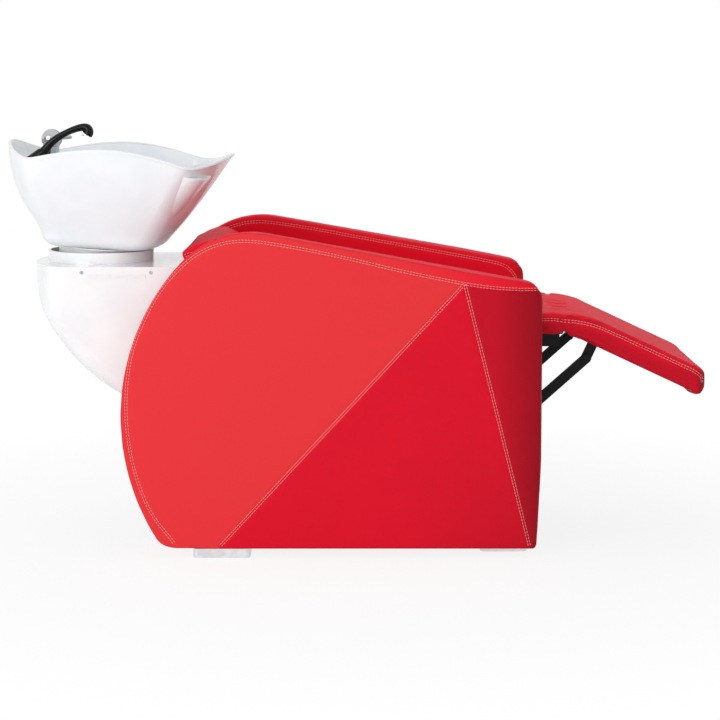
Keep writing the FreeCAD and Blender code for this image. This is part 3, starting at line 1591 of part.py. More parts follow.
def drain():
    floor = dim.bowl_floor
    ring = turned("drain_flange_form", (
        Outline(dim.drain_bore_radius, 0 * floor)
        .line(dim.drain_hole_radius, 0 * floor)
        .line(dim.drain_hole_radius, floor)
        .line(dim.drain_flange_radius, floor)
        .line(dim.drain_hole_radius, floor + dim.drain_flange_height)
        .line(dim.drain_bore_radius, floor)
        .close()
    ))
    x, z = basin_point(dim.drain_x, 0 * floor)
    keep("drain_fitting", place(ring, x, 0, z, dim.basin_lean))
    tail = turned("drain_tail_form", (
        Outline(dim.drain_tail_radius - dim.waste_wall, -dim.drain_tail_end)
        .line(dim.drain_tail_radius, -dim.drain_tail_end)
        .line(dim.drain_tail_radius, 0 * floor)
        .line(dim.drain_tail_radius - dim.waste_wall, 0 * floor)
        .close()
    ))
    keep("drain_tail", place(tail, x, 0, z, dim.basin_lean))
    disc_low = floor - dim.strainer_thickness
    knob = dim.strainer_knob_radius
    disc = turned("strainer_disc", (
        Outline(0 * knob, disc_low)
        .line(dim.strainer_radius, disc_low)
        .line(dim.strainer_radius, floor)
        .line(dim.drain_bore_radius + dim.strainer_thickness, floor + dim.drain_flange_height)
        .line(knob, floor + dim.drain_flange_height)
        .line(knob, floor + dim.strainer_knob_height)
        .line(0 * knob, floor + dim.strainer_knob_height)
        .close()
    ))
    holes = []
    count = SIZES["strainer_holes"]
    for turn in range(count):
        angle = 360 * turn / count
        holes.append(cylinder(
            f"strainer_hole_{turn}", dim.strainer_hole_radius, dim.overrun,
            dim.strainer_hole_circle * cosine(angle), dim.strainer_hole_circle * sine(angle),
            floor - dim.overrun / 2,
        ))
    keep("hair_strainer", place(cut("strainer_form", disc, *holes), x, 0, z, dim.basin_lean))


def mixer():
    """The mixer tap: a column through the deck, a ball cap that turns and a lever in its slot."""
    deck = dim.deck_z
    radius = dim.mixer_radius
    flange = dim.mixer_flange
    column = turned("mixer_column", (
        Outline(0 * radius, deck - dim.mixer_tail)
        .line(dim.mixer_hole_radius - dim.side_gap, deck - dim.mixer_tail)
        .line(dim.mixer_hole_radius - dim.side_gap, deck)
        .line(dim.mixer_flange_radius, deck)
        .line(dim.mixer_flange_radius, deck + flange / 2)
        .line(radius, deck + flange)
        .line(radius, dim.mixer_top)
        .line(0 * radius, dim.mixer_top)
        .close()
    ))
    x, z = basin_point(-dim.mixer_back, 0 * deck)
    keep("mixer_body", place(column, x, dim.mixer_y, z, dim.basin_lean))
    ball = doc.addObject("Part::Sphere", "cap_ball")
    bind(ball, Radius=dim.ball_radius)
    place(ball, 0, 0, dim.ball_centre_z)
    reach = dim.ball_radius * 2
    cap_low = dim.mixer_top + dim.cap_gap
    above = block("cap_zone", (-reach, reach), (-reach, reach), (cap_low, dim.mixer_top + reach * 2))
    centre = dim.ball_centre_z
    slot = block("cap_slot", (-dim.slot_depth, reach), (-dim.slot_half_width, dim.slot_half_width),
                 (centre - dim.slot_depth, centre + reach))
    cap = cut("cap_form", common("cap_top", ball, above), slot)
    keep("mixer_cap", place(cap, x, dim.mixer_y, z, dim.basin_lean))
    barrel_half = dim.slot_half_width - dim.cap_gap
    barrel = cross_pin("lever_barrel_form", dim.lever_barrel, 0 * centre, 0 * centre, -barrel_half, barrel_half)
    stem = cylinder("lever_stem", dim.lever_radius, dim.lever_length, 0, 0, 0, lean=90)
    tip = doc.addObject("Part::Sphere", "lever_tip")
    bind(tip, Radius=dim.lever_radius)
    place(tip, dim.lever_length, 0, 0)
    lever = fuse("lever_form", barrel, stem, tip)
    lever_x, lever_z = basin_point(-dim.mixer_back, centre)
    keep("mixer_lever", place(lever, lever_x, dim.mixer_y, lever_z, dim.basin_lean - dim.lever_rise))


def shower_axis_at_deck():
    """Where the hand shower's axis meets the deck."""
    run = (dim.shower_foot_z - dim.deck_z) / tangent(dim.shower_lean)
    return -dim.shower_foot_back - run, dim.deck_z


def ring_section(name, x, z, lean, radius):
    sketch = doc.addObject("Sketcher::SketchObject", name)
    draw_circle(sketch, 0 * radius, 0 * radius, radius)
    return place(sketch, x, 0, z, 90 - lean)


def hand_shower():
    """The hand shower: a curved grip, a round head with a spray face, and a foot in its holder."""
    foot_x = -dim.shower_foot_back
    foot_z = dim.shower_foot_z
    head_x = -dim.shower_head_back
    head_mid = (dim.shower_head_low + dim.shower_head_high) / 2
    run = head_x - foot_x
    rise = head_mid - foot_z
    lean = dim.shower_lean
    stations = (
        (0, 0, 1, dim.shower_foot_radius),
        (0.28, 0.41, 0.92, dim.shower_foot_radius - dim.running_gap),
        (0.56, 0.74, 0.78, dim.shower_grip_radius),
        (0.86, 1.01, 0.42, dim.shower_grip_radius),
        (1, 1.06, 0.25, dim.shower_neck_radius),
    )
    sections = [
        ring_section(f"grip_{place_number}", foot_x + run * across, foot_z + rise * up, lean * turn, radius)
        for place_number, (across, up, turn, radius) in enumerate(stations)
    ]
    grip = loft("grip", sections)
    head = turned("shower_head", (
        Outline(0 * head_x, dim.shower_head_low)
        .line(dim.shower_head_radius, dim.shower_head_low)
        .line(dim.shower_head_radius, dim.shower_head_high - dim.shower_head_round)
        .line(dim.shower_head_radius - dim.shower_head_round, dim.shower_head_high)
        .line(0 * head_x, dim.shower_head_high)
        .close()
    ))
    place(head, head_x, 0, 0)
    back_x = foot_x - dim.spigot_length * cosine(lean)
    back_z = foot_z - dim.spigot_length * sine(lean)
    spigot = cylinder("shower_spigot", dim.spigot_radius, dim.spigot_length + dim.overrun / 2, back_x, 0, back_z,
                      lean=90 - lean)
    handle = fuse("shower_form", grip, head, spigot)
    x, z = basin_point(0 * foot_x, 0 * foot_x)
    keep("shower_handle", place(handle, x, dim.shower_y, z, dim.basin_lean))
    spray = cylinder("spray_form", dim.spray_radius, dim.spray_thickness)
    spray_x, spray_z = basin_point(head_x, dim.shower_head_low - dim.spray_thickness)
    keep("spray_face", place(spray, spray_x, dim.shower_y, spray_z, dim.basin_lean))
    deck_x, deck_z = shower_axis_at_deck()
    sleeve_length = (foot_z - deck_z) / sine(lean)
    sleeve = doc.addObject("Part::Cone", "holder_sleeve")
    bind(sleeve, Radius1=dim.holder_base_radius, Radius2=dim.holder_top_radius,
         Height=sleeve_length + dim.overrun)
    start_x = deck_x - dim.overrun * cosine(lean)
    start_z = deck_z - dim.overrun * sine(lean)
    place(sleeve, start_x, 0, start_z, 90 - lean)
    reach = dim.basin_depth
    above = block("holder_zone", (-reach, reach), (-reach, reach), (deck_z, reach * 2))
    trimmed = common("holder_trimmed", sleeve, above)
    foot = cylinder("holder_foot", dim.holder_base_radius + dim.holder_flange, dim.holder_flange, deck_x, 0, deck_z)
    bore_radius = dim.spigot_radius + dim.holder_bore_gap
    bore = cylinder("holder_bore", bore_radius, sleeve_length + dim.overrun * 3,
                    start_x - dim.overrun * cosine(lean),
                    0, start_z - dim.overrun * sine(lean), lean=90 - lean)
    cup = cylinder("holder_cup", dim.shower_foot_radius + dim.holder_bore_gap, dim.overrun * 2, foot_x, 0, foot_z,
                   lean=90 - lean)
    holder = cut("holder_form", fuse("holder_solid", trimmed, foot), bore, cup)
    keep("shower_holder", place(holder, x, dim.shower_y, z, dim.basin_lean))


# Hoses and waste


def hose(label, route, radius, *ends):
    """A tube along straight runs joined by tangent arcs, trimmed where it meets its end pieces."""
    points = [Vector(*point) for point in route]
    edges = []
    bends = []
    start = points[0]
    for before, corner, after in zip(points, points[1:], points[2:]):
        into = corner.sub(before)
        away = after.sub(corner)
        half_turn = into.getAngle(away) / 2
        reach = 0.45 * min(into.Length, away.Length)
        arc_in = corner.sub(Vector(into).normalize().multiply(reach))
        arc_out = corner.add(Vector(away).normalize().multiply(reach))
        bend = reach / math.tan(half_turn)
        toward = arc_in.add(arc_out).multiply(0.5).sub(corner)
        centre_gap = math.hypot(bend, reach)
        middle = corner.add(toward.normalize().multiply(centre_gap - bend))
        edges.append(Part.LineSegment(start, arc_in).toShape())
        edges.append(Part.Arc(arc_in, middle, arc_out).toShape())
        bends.append(f"{bend:.0f}")
        start = arc_out
    edges.append(Part.LineSegment(start, points[-1]).toShape())
    path = Part.Wire(edges)
    ring = Part.Wire([Part.Circle(points[0], points[1].sub(points[0]), number(radius)).toShape()])
    item = doc.addObject("Part::Feature", label + "_form")
    item.Shape = path.makePipeShell([ring], True, False)
    drift = item.Shape.Volume / (math.pi * number(radius) ** 2 * path.Length)
    print(f"{label}: length {path.Length:.0f}, volume share {drift:.3f}, bend radii {' '.join(bends)}")
    keep(label, cut(label + "_trimmed", item, *ends) if ends else item)


def plumbing():
    """Supply hoses to two unions on a service plate, and the waste down to a floor pipe."""
    union = turned("union_form", (
        Outline(dim.union_bore, 0 * dim.union_bore)
        .line(dim.union_radius, 0 * dim.union_bore)
        .line(dim.union_radius, dim.union_height)
        .line(0 * dim.union_bore, dim.union_height)
        .line(0 * dim.union_bore, dim.union_depth)
        .line(dim.union_bore, dim.union_depth)
        .close()
    ))
    place(union, dim.hose_x, -dim.hose_y, dim.service_z)
    unions = both_sides("union_pair", union)
    keep("hose_unions", unions)
    tap = sub_parts["mixer_body"]
    hose("cold_hose", COLD_ROUTE, dim.hose_radius, tap, unions)
    hose("hot_hose", HOT_ROUTE, dim.hose_radius, tap, unions)
    hose("shower_hose", SHOWER_ROUTE, dim.hose_radius, tap)
    hose("waste_hose", WASTE_ROUTE, dim.waste_radius)
    pipe = turned("waste_pipe_form", (
        Outline(dim.waste_radius - dim.waste_wall, dim.foot_height)
        .line(dim.waste_radius, dim.foot_height)
        .line(dim.waste_radius, dim.waste_collar_low)
        .line(dim.waste_collar_radius, dim.waste_collar_low)
        .line(dim.waste_collar_radius, dim.waste_collar_high)
        .line(dim.waste_radius, dim.waste_collar_high)
        .line(dim.waste_radius, dim.waste_pipe_top)
        .line(dim.waste_radius - dim.waste_wall, dim.waste_pipe_top)
        .close()
    ))
    keep("waste_pipe", place(pipe, dim.waste_x, 0, 0))
    tube_top = dim.foot_height + dim.base_tube_height
    half = dim.service_half_width
    thick = dim.service_thickness
    low = dim.service_z
    tube_front = dim.rear_foot_x + dim.base_tube_width / 2
    back_x = dim.rear_foot_x - dim.base_tube_width / 2 + dim.panel_thickness
    front_x = dim.waste_x + dim.waste_collar_radius + dim.overrun
    holes = [
        (dim.hose_x, -dim.hose_y, dim.union_radius), (dim.hose_x, dim.hose_y, dim.union_radius),
        (dim.waste_x, 0 * half, dim.waste_collar_radius),
    ]
    shelf = flat("service_shelf", rectangle((back_x, front_x), (-half, half)), low, low + thick, holes)
    leg = block("service_leg", (back_x, tube_front), (-half, thick - half), (tube_top, low))
    keep("service_plate", fuse("service_form", shelf, leg, mirror("service_leg_other", leg)))


def build():
    armrests()
    feet()
    base_tubes()
    seat()
    seat_frame()
    back()
    panels()
    legrest()
    legrest_brackets()
    linkage()
    hinges()
    shell()
    plate_top = shell_support()
    tilt_bearing(plate_top)
    basin()
    basin_mount()
    drain()
    mixer()
    hand_shower()
    plumbing()
    doc.recompute()


def check():
    faults = [item.Name for item in doc.Objects if "Invalid" in item.State or "Error" in item.State]
    faults += [name for name, item in sub_parts.items() if item.Shape.isNull() or not item.Shape.isValid()]
    if faults:
        raise RuntimeError(f"these have no sound shape: {faults}")


def report_places():
    """Prints the joint centres and the overall box."""
    for name, spot in (
        ("strut pin", strut_pin()), ("torque tube", tube_centre()),
        ("tilt pivot", basin_point(0 * dim.pivot_drop, -dim.pivot_drop)),
        ("ball centre", basin_point(-dim.mixer_back, dim.ball_centre_z)),
        ("drain", basin_point(dim.drain_x, dim.bowl_floor)),
    ):
        print(f"{name}: x {spot[0].value:.4f}, z {spot[1].value:.4f}")
    box = FreeCAD.BoundBox()
    for item in sub_parts.values():
        box.add(item.Shape.BoundBox)
    print(f"overall box: {box}")


def write():
    os.makedirs("parts", exist_ok=True)
    for label, item in sub_parts.items():
        item.Shape.exportStep(f"parts/{label}.step")


build()
check()
report_places()
write()
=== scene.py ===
"""Looks of the hair washing bed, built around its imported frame.

Red stitched covers on the armrests, seat, back and legrest, a glazed basin with its taps, and a
white shell behind, each made on the place that the frame gives it. Lengths are in metres.
"""

import json
import logging
import math
from dataclasses import dataclass
from enum import Enum
from typing import Iterable, Sequence

import bmesh
import bpy
import numpy as np
from mathutils import Matrix, Vector
from mathutils.bvhtree import BVHTree

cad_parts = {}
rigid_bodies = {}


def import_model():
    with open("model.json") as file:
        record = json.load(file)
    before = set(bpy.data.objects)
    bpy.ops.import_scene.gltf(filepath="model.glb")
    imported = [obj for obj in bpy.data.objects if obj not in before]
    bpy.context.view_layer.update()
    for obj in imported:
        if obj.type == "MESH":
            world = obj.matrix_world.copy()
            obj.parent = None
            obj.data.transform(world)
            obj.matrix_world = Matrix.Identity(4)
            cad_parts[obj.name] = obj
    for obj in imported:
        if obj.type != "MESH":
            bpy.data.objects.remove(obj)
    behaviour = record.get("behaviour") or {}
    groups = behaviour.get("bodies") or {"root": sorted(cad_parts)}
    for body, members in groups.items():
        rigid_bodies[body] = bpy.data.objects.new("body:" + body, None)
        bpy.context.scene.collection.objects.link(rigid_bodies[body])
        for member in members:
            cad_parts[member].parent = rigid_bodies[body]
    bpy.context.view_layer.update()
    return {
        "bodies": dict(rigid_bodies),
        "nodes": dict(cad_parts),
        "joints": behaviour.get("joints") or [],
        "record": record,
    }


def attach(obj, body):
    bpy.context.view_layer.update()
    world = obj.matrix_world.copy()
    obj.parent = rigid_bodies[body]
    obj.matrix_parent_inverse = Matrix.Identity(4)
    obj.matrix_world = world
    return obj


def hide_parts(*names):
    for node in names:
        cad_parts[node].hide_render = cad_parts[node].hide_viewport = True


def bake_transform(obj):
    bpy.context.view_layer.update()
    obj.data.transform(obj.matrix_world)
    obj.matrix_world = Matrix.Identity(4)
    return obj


log = logging.getLogger("hair_washing_bed")

# Leather reds: the first is a painted shade colour, the second the leather's own red, the third a painted sheen
# colour; the covers' tone attribute blends between them.
RED_PAINTED_SHADE = (0.16, 0.002, 0.007)
RED_DEEP = (0.80, 0.004, 0.024)
RED_PAINTED_SHEEN = (0.73, 0.032, 0.039)
THREAD = (0.82, 0.42, 0.38)
CERAMIC_WHITE = (0.86, 0.88, 0.905)
SHELL_WHITE = (0.88, 0.885, 0.895)
BASIN_LEAN = math.radians(3.6)
BASIN_FOOT = Vector((-0.619, 0.0, 0.703))
SEAM_STEP = 0.004
FAR = 9.0


class Body(Enum):
    """The moving bodies of the frame."""

    ROOT = "root"
    BASIN = "basin"
    LEGREST = "legrest"
    SHOWER = "hand_shower"


class Slot(Enum):
    """Material slots of the record."""

    COVER = "red_cover"
    CERAMIC = "ceramic"
    BLACK = "black_plastic"


# Material boards


class Term:
    """A socket or number that takes part in shader sums."""

    def __init__(self, board: "Board", socket: bpy.types.NodeSocket) -> None:
        """Keeps the board and the socket."""
        self.board = board
        self.socket = socket

    def __add__(self, other: object) -> "Term":
        """Adds."""
        return self.board.maths("ADD", self, other)

    def __radd__(self, other: object) -> "Term":
        """Adds from the left."""
        return self.board.maths("ADD", other, self)

    def __sub__(self, other: object) -> "Term":
        """Takes away."""
        return self.board.maths("SUBTRACT", self, other)

    def __rsub__(self, other: object) -> "Term":
        """Is taken away."""
        return self.board.maths("SUBTRACT", other, self)

    def __mul__(self, other: object) -> "Term":
        """Multiplies."""
        return self.board.maths("MULTIPLY", self, other)

    def __rmul__(self, other: object) -> "Term":
        """Multiplies from the left."""
        return self.board.maths("MULTIPLY", other, self)


class Board:
    """One node material under construction."""

    def __init__(self, name: str) -> None:
        """Starts a material with a lone principled shader.

        Args:
            name: name of the material.
        """
        self.material = bpy.data.materials.new(name)
        self.material.use_nodes = True
        self.tree = self.material.node_tree
        self.tree.nodes.clear()
        self.output = self.tree.nodes.new("ShaderNodeOutputMaterial")
        self.shader = self.tree.nodes.new("ShaderNodeBsdfPrincipled")
        self.tree.links.new(self.shader.outputs[0], self.output.inputs["Surface"])
        self.place = Term(self, self.node("ShaderNodeTexCoord").outputs["Object"])

    def node(self, kind: str, settings: dict | None = None, **values: object) -> bpy.types.Node:
        """Adds a node.

        Args:
            kind: the node's type.
            settings: properties that are set before the sockets.
            **values: numbers, colours or terms by socket name, with spaces as underscores.

        Returns:
            The new node.
        """
        item = self.tree.nodes.new(kind)
        for key, value in (settings or {}).items():
            setattr(item, key, value)
        for key, value in values.items():
            self.feed(item.inputs[key.replace("_", " ")], value)
        return item

    def feed(self, socket: bpy.types.NodeSocket, value: object) -> None:
        """Links a term to a socket, or sets the socket's own value."""
        if isinstance(value, Term):
            self.tree.links.new(value.socket, socket)
        else:
            socket.default_value = value

    def maths(self, operation: str, *values: object) -> Term:
        """Adds a math node on terms or numbers."""
        item = self.tree.nodes.new("ShaderNodeMath")
        item.operation = operation
        for socket, value in zip(item.inputs, values):
            self.feed(socket, value)
        return Term(self, item.outputs[0])

    def noise(
        self, scale: float, detail: float = 3.0, roughness: float = 0.55, stretch: Sequence[float] | None = None
    ) -> Term:
        """A noise over the object's own place.

        Args:
            scale: features per metre.
            detail: octaves.
            roughness: weight of the finer octaves.
            stretch: scales along each axis, where the noise is drawn out.

        Returns:
            The noise's value, about 0.5 in the middle.
        """
        where = self.place if stretch is None else self.stretched(stretch)
        values = {"Vector": where, "Scale": scale, "Detail": detail, "Roughness": roughness}
        item = self.node("ShaderNodeTexNoise", None, **values)
        return Term(self, item.outputs[0])

    def stretched(self, stretch: Sequence[float]) -> Term:
        """The object's place scaled along each axis."""
        item = self.node("ShaderNodeMapping", None, Vector=self.place)
        item.inputs["Scale"].default_value = stretch
        return Term(self, item.outputs[0])

    def painted(self, name: str) -> Term:
        """A value that the mesh carries at each vertex."""
        return Term(self, self.node("ShaderNodeAttribute", {"attribute_name": name}).outputs["Fac"])

    def cells(self, scale: float) -> Term:
        """Distance in a cell pattern over the object's own place."""
        item = self.node("ShaderNodeTexVoronoi", None, Vector=self.place, Scale=scale)
        return Term(self, item.outputs["Distance"])

    def between(self, term: Term, low: float, high: float, start: float = 0.0, end: float = 1.0) -> Term:
        """Maps a term from low and high to start and end, smoothly and clamped."""
        item = self.node("ShaderNodeMapRange", {"interpolation_type": "SMOOTHSTEP"}, Value=term)
        for key, value in zip(("From Min", "From Max", "To Min", "To Max"), (low, high, start, end)):
            item.inputs[key].default_value = value
        return Term(self, item.outputs[0])

    def blend(self, factor: Term, low: object, high: object) -> Term:
        """A colour between two by a factor; each is a colour or a term."""
        item = self.node("ShaderNodeMix", {"data_type": "RGBA"})
        self.feed(item.inputs[0], factor)
        self.feed(item.inputs[6], low if isinstance(low, Term) else (*low, 1.0))
        self.feed(item.inputs[7], high if isinstance(high, Term) else (*high, 1.0))
        return Term(self, item.outputs[2])

    def bump(self, height: Term, depth: float, strength: float = 1.0, below: Term | None = None) -> Term:
        """A bump of a depth in metres, over another where one is given."""
        item = self.node("ShaderNodeBump", None, Height=height, Distance=depth, Strength=strength)
        if below is not None:
            self.feed(item.inputs["Normal"], below)
        return Term(self, item.outputs[0])

    def dress(self, **values: object) -> bpy.types.Material:
        """Feeds the shader's sockets and returns the material."""
        for key, value in values.items():
            if isinstance(value, tuple) and len(value) == 3:
                value = (*value, 1.0)
            self.feed(self.shader.inputs[key.replace("_", " ")], value)
        return self.material


@dataclass(frozen=True)
class Leather:
    """Artificial leather with a fine grain and a soft sheen; its colour carries painted shade and a painted sheen
    from the covers' tone attribute.
    """

    name: str = "red_leather"
    # dark is the painted shade colour and light the painted sheen colour.
    dark: tuple = RED_PAINTED_SHADE
    deep: tuple = RED_DEEP
    light: tuple = RED_PAINTED_SHEEN

    def make(self) -> bpy.types.Material:
        """Builds the material."""
        board = Board(self.name)
        grain = board.cells(620.0)
        fine = board.noise(1700.0, 2.0)
        cloud = board.noise(7.0, 3.0, 0.6)
        patch = board.noise(38.0, 4.0, 0.6)
        # The tone attribute carries painted light and shade; the noise adds random tone.
        tone = board.painted("tone") + (cloud * 0.6 + patch * 0.4 - 0.5) * 0.07
        # Low tone values blend toward the painted shade colour and high tone values toward the painted sheen colour.
        low = board.blend(board.between(tone, 0.0, 0.5), self.dark, self.deep)
        first = board.bump(grain, 0.00030, 0.42)
        second = board.bump(fine, 0.00012, 0.35, first)
        third = board.bump(patch, 0.0012, 0.10, second)
        return board.dress(
            Base_Color=board.blend(board.between(tone, 0.5, 1.0), low, self.light),
            Roughness=board.between(patch * 0.5 + grain * 0.6, 0.2, 0.8, 0.52, 0.64),
            Normal=third,
            Specular_IOR_Level=0.13,
        )


@dataclass(frozen=True)
class Gloss:
    """Glazed, lacquered or moulded surface with a faint unevenness and a clear coat."""

    name: str
    colour: tuple
    worn: tuple
    roughness: float
    coat: float
    wave: float
    wave_scale: float
    grain: float = 0.0
    shine: float = 0.5

    def make(self) -> bpy.types.Material:
        """Builds the material."""
        board = Board(self.name)
        cloud = board.noise(9.0, 3.0)
        wave = board.noise(self.wave_scale, 2.0, 0.4)
        normal = board.bump(wave, self.wave, 0.35)
        if self.grain:
            normal = board.bump(board.noise(1400.0, 2.0), self.grain, 0.5, normal)
        smear = board.noise(60.0, 4.0, 0.65)
        return board.dress(
            Base_Color=board.blend(board.between(cloud, 0.3, 0.7), self.worn, self.colour),
            Roughness=board.between(smear, 0.25, 0.8, self.roughness, self.roughness * 1.7 + 0.02),
            Normal=normal,
            Coat_Weight=self.coat,
            Coat_Roughness=self.roughness * 0.5,
            Specular_IOR_Level=self.shine,
        )


@dataclass(frozen=True)
class Metal:
    """Plated or brushed metal."""

    name: str
    colour: tuple
    roughness: float
    brushed: tuple | None = None
    depth: float = 0.00005

    def make(self) -> bpy.types.Material:
        """Builds the material."""
        board = Board(self.name)
        haze = board.noise(45.0, 4.0, 0.6)
        if self.brushed:
            lines = board.noise(900.0, 2.0, 0.5, self.brushed)
        else:
            lines = board.noise(500.0, 2.0)
        dull = tuple(0.86 * c for c in self.colour)
        rough = self.roughness * 1.6 + 0.03
        return board.dress(
            Base_Color=board.blend(board.between(haze, 0.3, 0.7), dull, self.colour),
            Metallic=1.0,
            Roughness=board.between(haze * 0.6 + lines * 0.4, 0.3, 0.75, self.roughness, rough),
            Normal=board.bump(lines, self.depth, 0.4),
        )


@dataclass(frozen=True)
class Matt:
    """Powder coat, rubber or plastic with a grain."""

    name: str
    colour: tuple
    roughness: float
    grain_scale: float = 900.0
    grain: float = 0.00012
    spread: float = 0.25
    shine: float = 0.5

    def make(self) -> bpy.types.Material:
        """Builds the material."""
        board = Board(self.name)
        grain = board.noise(self.grain_scale, 3.0, 0.6)
        cloud = board.noise(14.0, 4.0, 0.6)
        darker = tuple(c * (1 - self.spread) for c in self.colour)
        worn = cloud * 0.5 + grain * 0.5
        return board.dress(
            Base_Color=board.blend(board.between(cloud, 0.3, 0.7), darker, self.colour),
            Roughness=board.between(worn, 0.3, 0.7, self.roughness * 0.85, self.roughness * 1.2),
            Normal=board.bump(grain, self.grain, 0.6),
            Specular_IOR_Level=self.shine,
        )


@dataclass(frozen=True)
class Timber:
    """Plywood or laminated board with a drawn-out grain."""

    name: str
    colour: tuple
    dark: tuple
    roughness: float = 0.55

    def make(self) -> bpy.types.Material:
        """Builds the material."""
        board = Board(self.name)
        grain = board.noise(30.0, 6.0, 0.65, (0.6, 7.0, 7.0))
        pores = board.noise(260.0, 3.0, 0.6, (0.5, 6.0, 6.0))
        figure = board.between(grain * 0.7 + pores * 0.3, 0.35, 0.65)
        return board.dress(
            Base_Color=board.blend(figure, self.dark, self.colour),
            Roughness=board.between(pores, 0.3, 0.7, self.roughness * 0.9, self.roughness * 1.15),
            Normal=board.bump(pores, 0.0002, 0.5),
        )


@dataclass(frozen=True)
class Thread:
    """Twisted sewing thread."""

    name: str = "pale_thread"

    def make(self) -> bpy.types.Material:
        """Builds the material."""
        board = Board(self.name)
        twist = board.noise(1500.0, 2.0)
        shaded = tuple(0.8 * c for c in THREAD)
        return board.dress(
            Base_Color=board.blend(board.between(twist, 0.3, 0.7), shaded, THREAD),
            Roughness=0.62,
            Normal=board.bump(twist, 0.0001, 0.5),
        )


class Finishes:
    """Every finish of the bed, made once."""

    def __init__(self) -> None:
        """Builds the materials by slot name."""
        self.leather = Leather().make()
        self.thread = Thread().make()
        self.ceramic = Gloss(
            "glazed_ceramic", CERAMIC_WHITE, (0.80, 0.83, 0.865), 0.30, coat=0.45, wave=0.0005, wave_scale=14.0
        ).make()
        shell = Gloss(
            "white_lacquer", SHELL_WHITE, (0.83, 0.84, 0.86), 0.13, 0.45, 0.0003, 30.0, grain=0.00002
        )
        trim = Gloss(
            "pale_trim_strip", (0.84, 0.845, 0.855), (0.78, 0.785, 0.80), 0.22, 0.3, 0.0002, 50.0, grain=0.00002
        )
        self.black_gloss = Gloss(
            "black_moulding", (0.002, 0.002, 0.0025), (0.004, 0.004, 0.0045), 0.16, 0.1, 0.0002, 60.0, shine=0.15
        ).make()
        foot_plate = Metal("brushed_foot_plate", (0.80, 0.81, 0.83), 0.30, (0.15, 3.0, 3.0), 0.00002)
        steel = Matt("black_powder_coat", (0.003, 0.003, 0.0035), 0.34, grain_scale=700.0, shine=0.16)
        self.slots = {
            "red_cover": self.leather,
            "plywood": Timber("birch_plywood", (0.62, 0.44, 0.27), (0.45, 0.29, 0.15)).make(),
            "black_steel": steel.make(),
            "zinc_steel": Metal("zinc_plate", (0.62, 0.63, 0.65), 0.28).make(),
            "chrome": Metal("polished_chrome", (0.54, 0.55, 0.57), 0.06).make(),
            "steel_foot": foot_plate.make(),
            "white_shell": shell.make(),
            "ceramic": self.ceramic,
            "black_board": Timber("black_laminate", (0.022, 0.021, 0.021), (0.012, 0.012, 0.012), 0.42).make(),
            "grey_trim": trim.make(),
            "black_plastic": self.black_gloss,
            "rubber_hose": Matt("hose_rubber", (0.020, 0.020, 0.021), 0.55, 1200.0).make(),
            "grey_plastic": Matt("grey_pipe", (0.36, 0.37, 0.38), 0.40).make(),
            "bush_plastic": Matt("bush_nylon", (0.05, 0.05, 0.055), 0.45).make(),
        }

    def dress_frame(self, nodes: dict, record: dict) -> None:
        """Gives each node of the frame its finish.

        Args:
            nodes: the frame's objects by node name.
            record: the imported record.
        """
        slot_of = {item["node"]: item["material_slot"] for item in record["subparts"]}
        for name, item in nodes.items():
            material = self.slots[slot_of[name]]
            if not item.material_slots:
                item.data.materials.append(material)
            for place in item.material_slots:
                place.material = material


# Mesh helpers


def only(item: bpy.types.Object) -> None:
    """Selects one object and makes it active."""
    bpy.ops.object.select_all(action="DESELECT")
    item.select_set(True)
    bpy.context.view_layer.objects.active = item


def modify(item: bpy.types.Object, kind: str, **settings: object) -> None:
    """Adds a modifier and applies it."""
    only(item)
    bpy.ops.object.modifier_add(type=kind)
    modifier = item.modifiers[-1]
    for key, value in settings.items():
        setattr(modifier, key, value)
    bpy.ops.object.modifier_apply(modifier=modifier.name)


def points_of(item: bpy.types.Object) -> np.ndarray:
    """The mesh's vertices as an array of rows."""
    spots = np.empty(len(item.data.vertices) * 3)
    item.data.vertices.foreach_get("co", spots)
    return spots.reshape(-1, 3)


def normals_of(item: bpy.types.Object) -> np.ndarray:
    """The mesh's vertex normals as an array of rows."""
    rows = np.empty(len(item.data.vertices) * 3)
    item.data.vertices.foreach_get("normal", rows)
    return rows.reshape(-1, 3)


def move_to(item: bpy.types.Object, spots: np.ndarray) -> None:
    """Moves the mesh's vertices to an array of rows."""
    item.data.vertices.foreach_set("co", spots.ravel())
    item.data.update()


def smooth(item: bpy.types.Object, degrees: float = 50.0) -> None:
    """Shades smooth up to an angle."""
    only(item)
    bpy.ops.object.shade_smooth_by_angle(angle=math.radians(degrees))


def settle(item: bpy.types.Object) -> None:
    """Brings the object's place into its mesh."""
    only(item)
    bpy.ops.object.transform_apply(location=True, rotation=True, scale=True)


def round_off(item: bpy.types.Object) -> None:
    """Shades every face smooth."""
    for face in item.data.polygons:
        face.use_smooth = True


def tree_of(item: bpy.types.Object) -> BVHTree:
    """A search tree of the mesh's faces."""
    return BVHTree.FromPolygons([v.co for v in item.data.vertices], [p.vertices for p in item.data.polygons])


def outward(item: bpy.types.Object) -> None:
    """Points all faces outwards."""
    only(item)
    bpy.ops.object.mode_set(mode="EDIT")
    bpy.ops.mesh.select_all(action="SELECT")
    bpy.ops.mesh.remove_doubles(threshold=0.00001)
    bpy.ops.mesh.normals_make_consistent(inside=False)
    bpy.ops.object.mode_set(mode="OBJECT")


def from_faces(name: str, spots: Iterable, faces: Iterable) -> bpy.types.Object:
    """An object from points and faces."""
    mesh = bpy.data.meshes.new(name)
    mesh.from_pydata([tuple(p) for p in spots], [], [tuple(f) for f in faces])
    mesh.update()
    item = bpy.data.objects.new(name, mesh)
    bpy.context.scene.collection.objects.link(item)
    return item


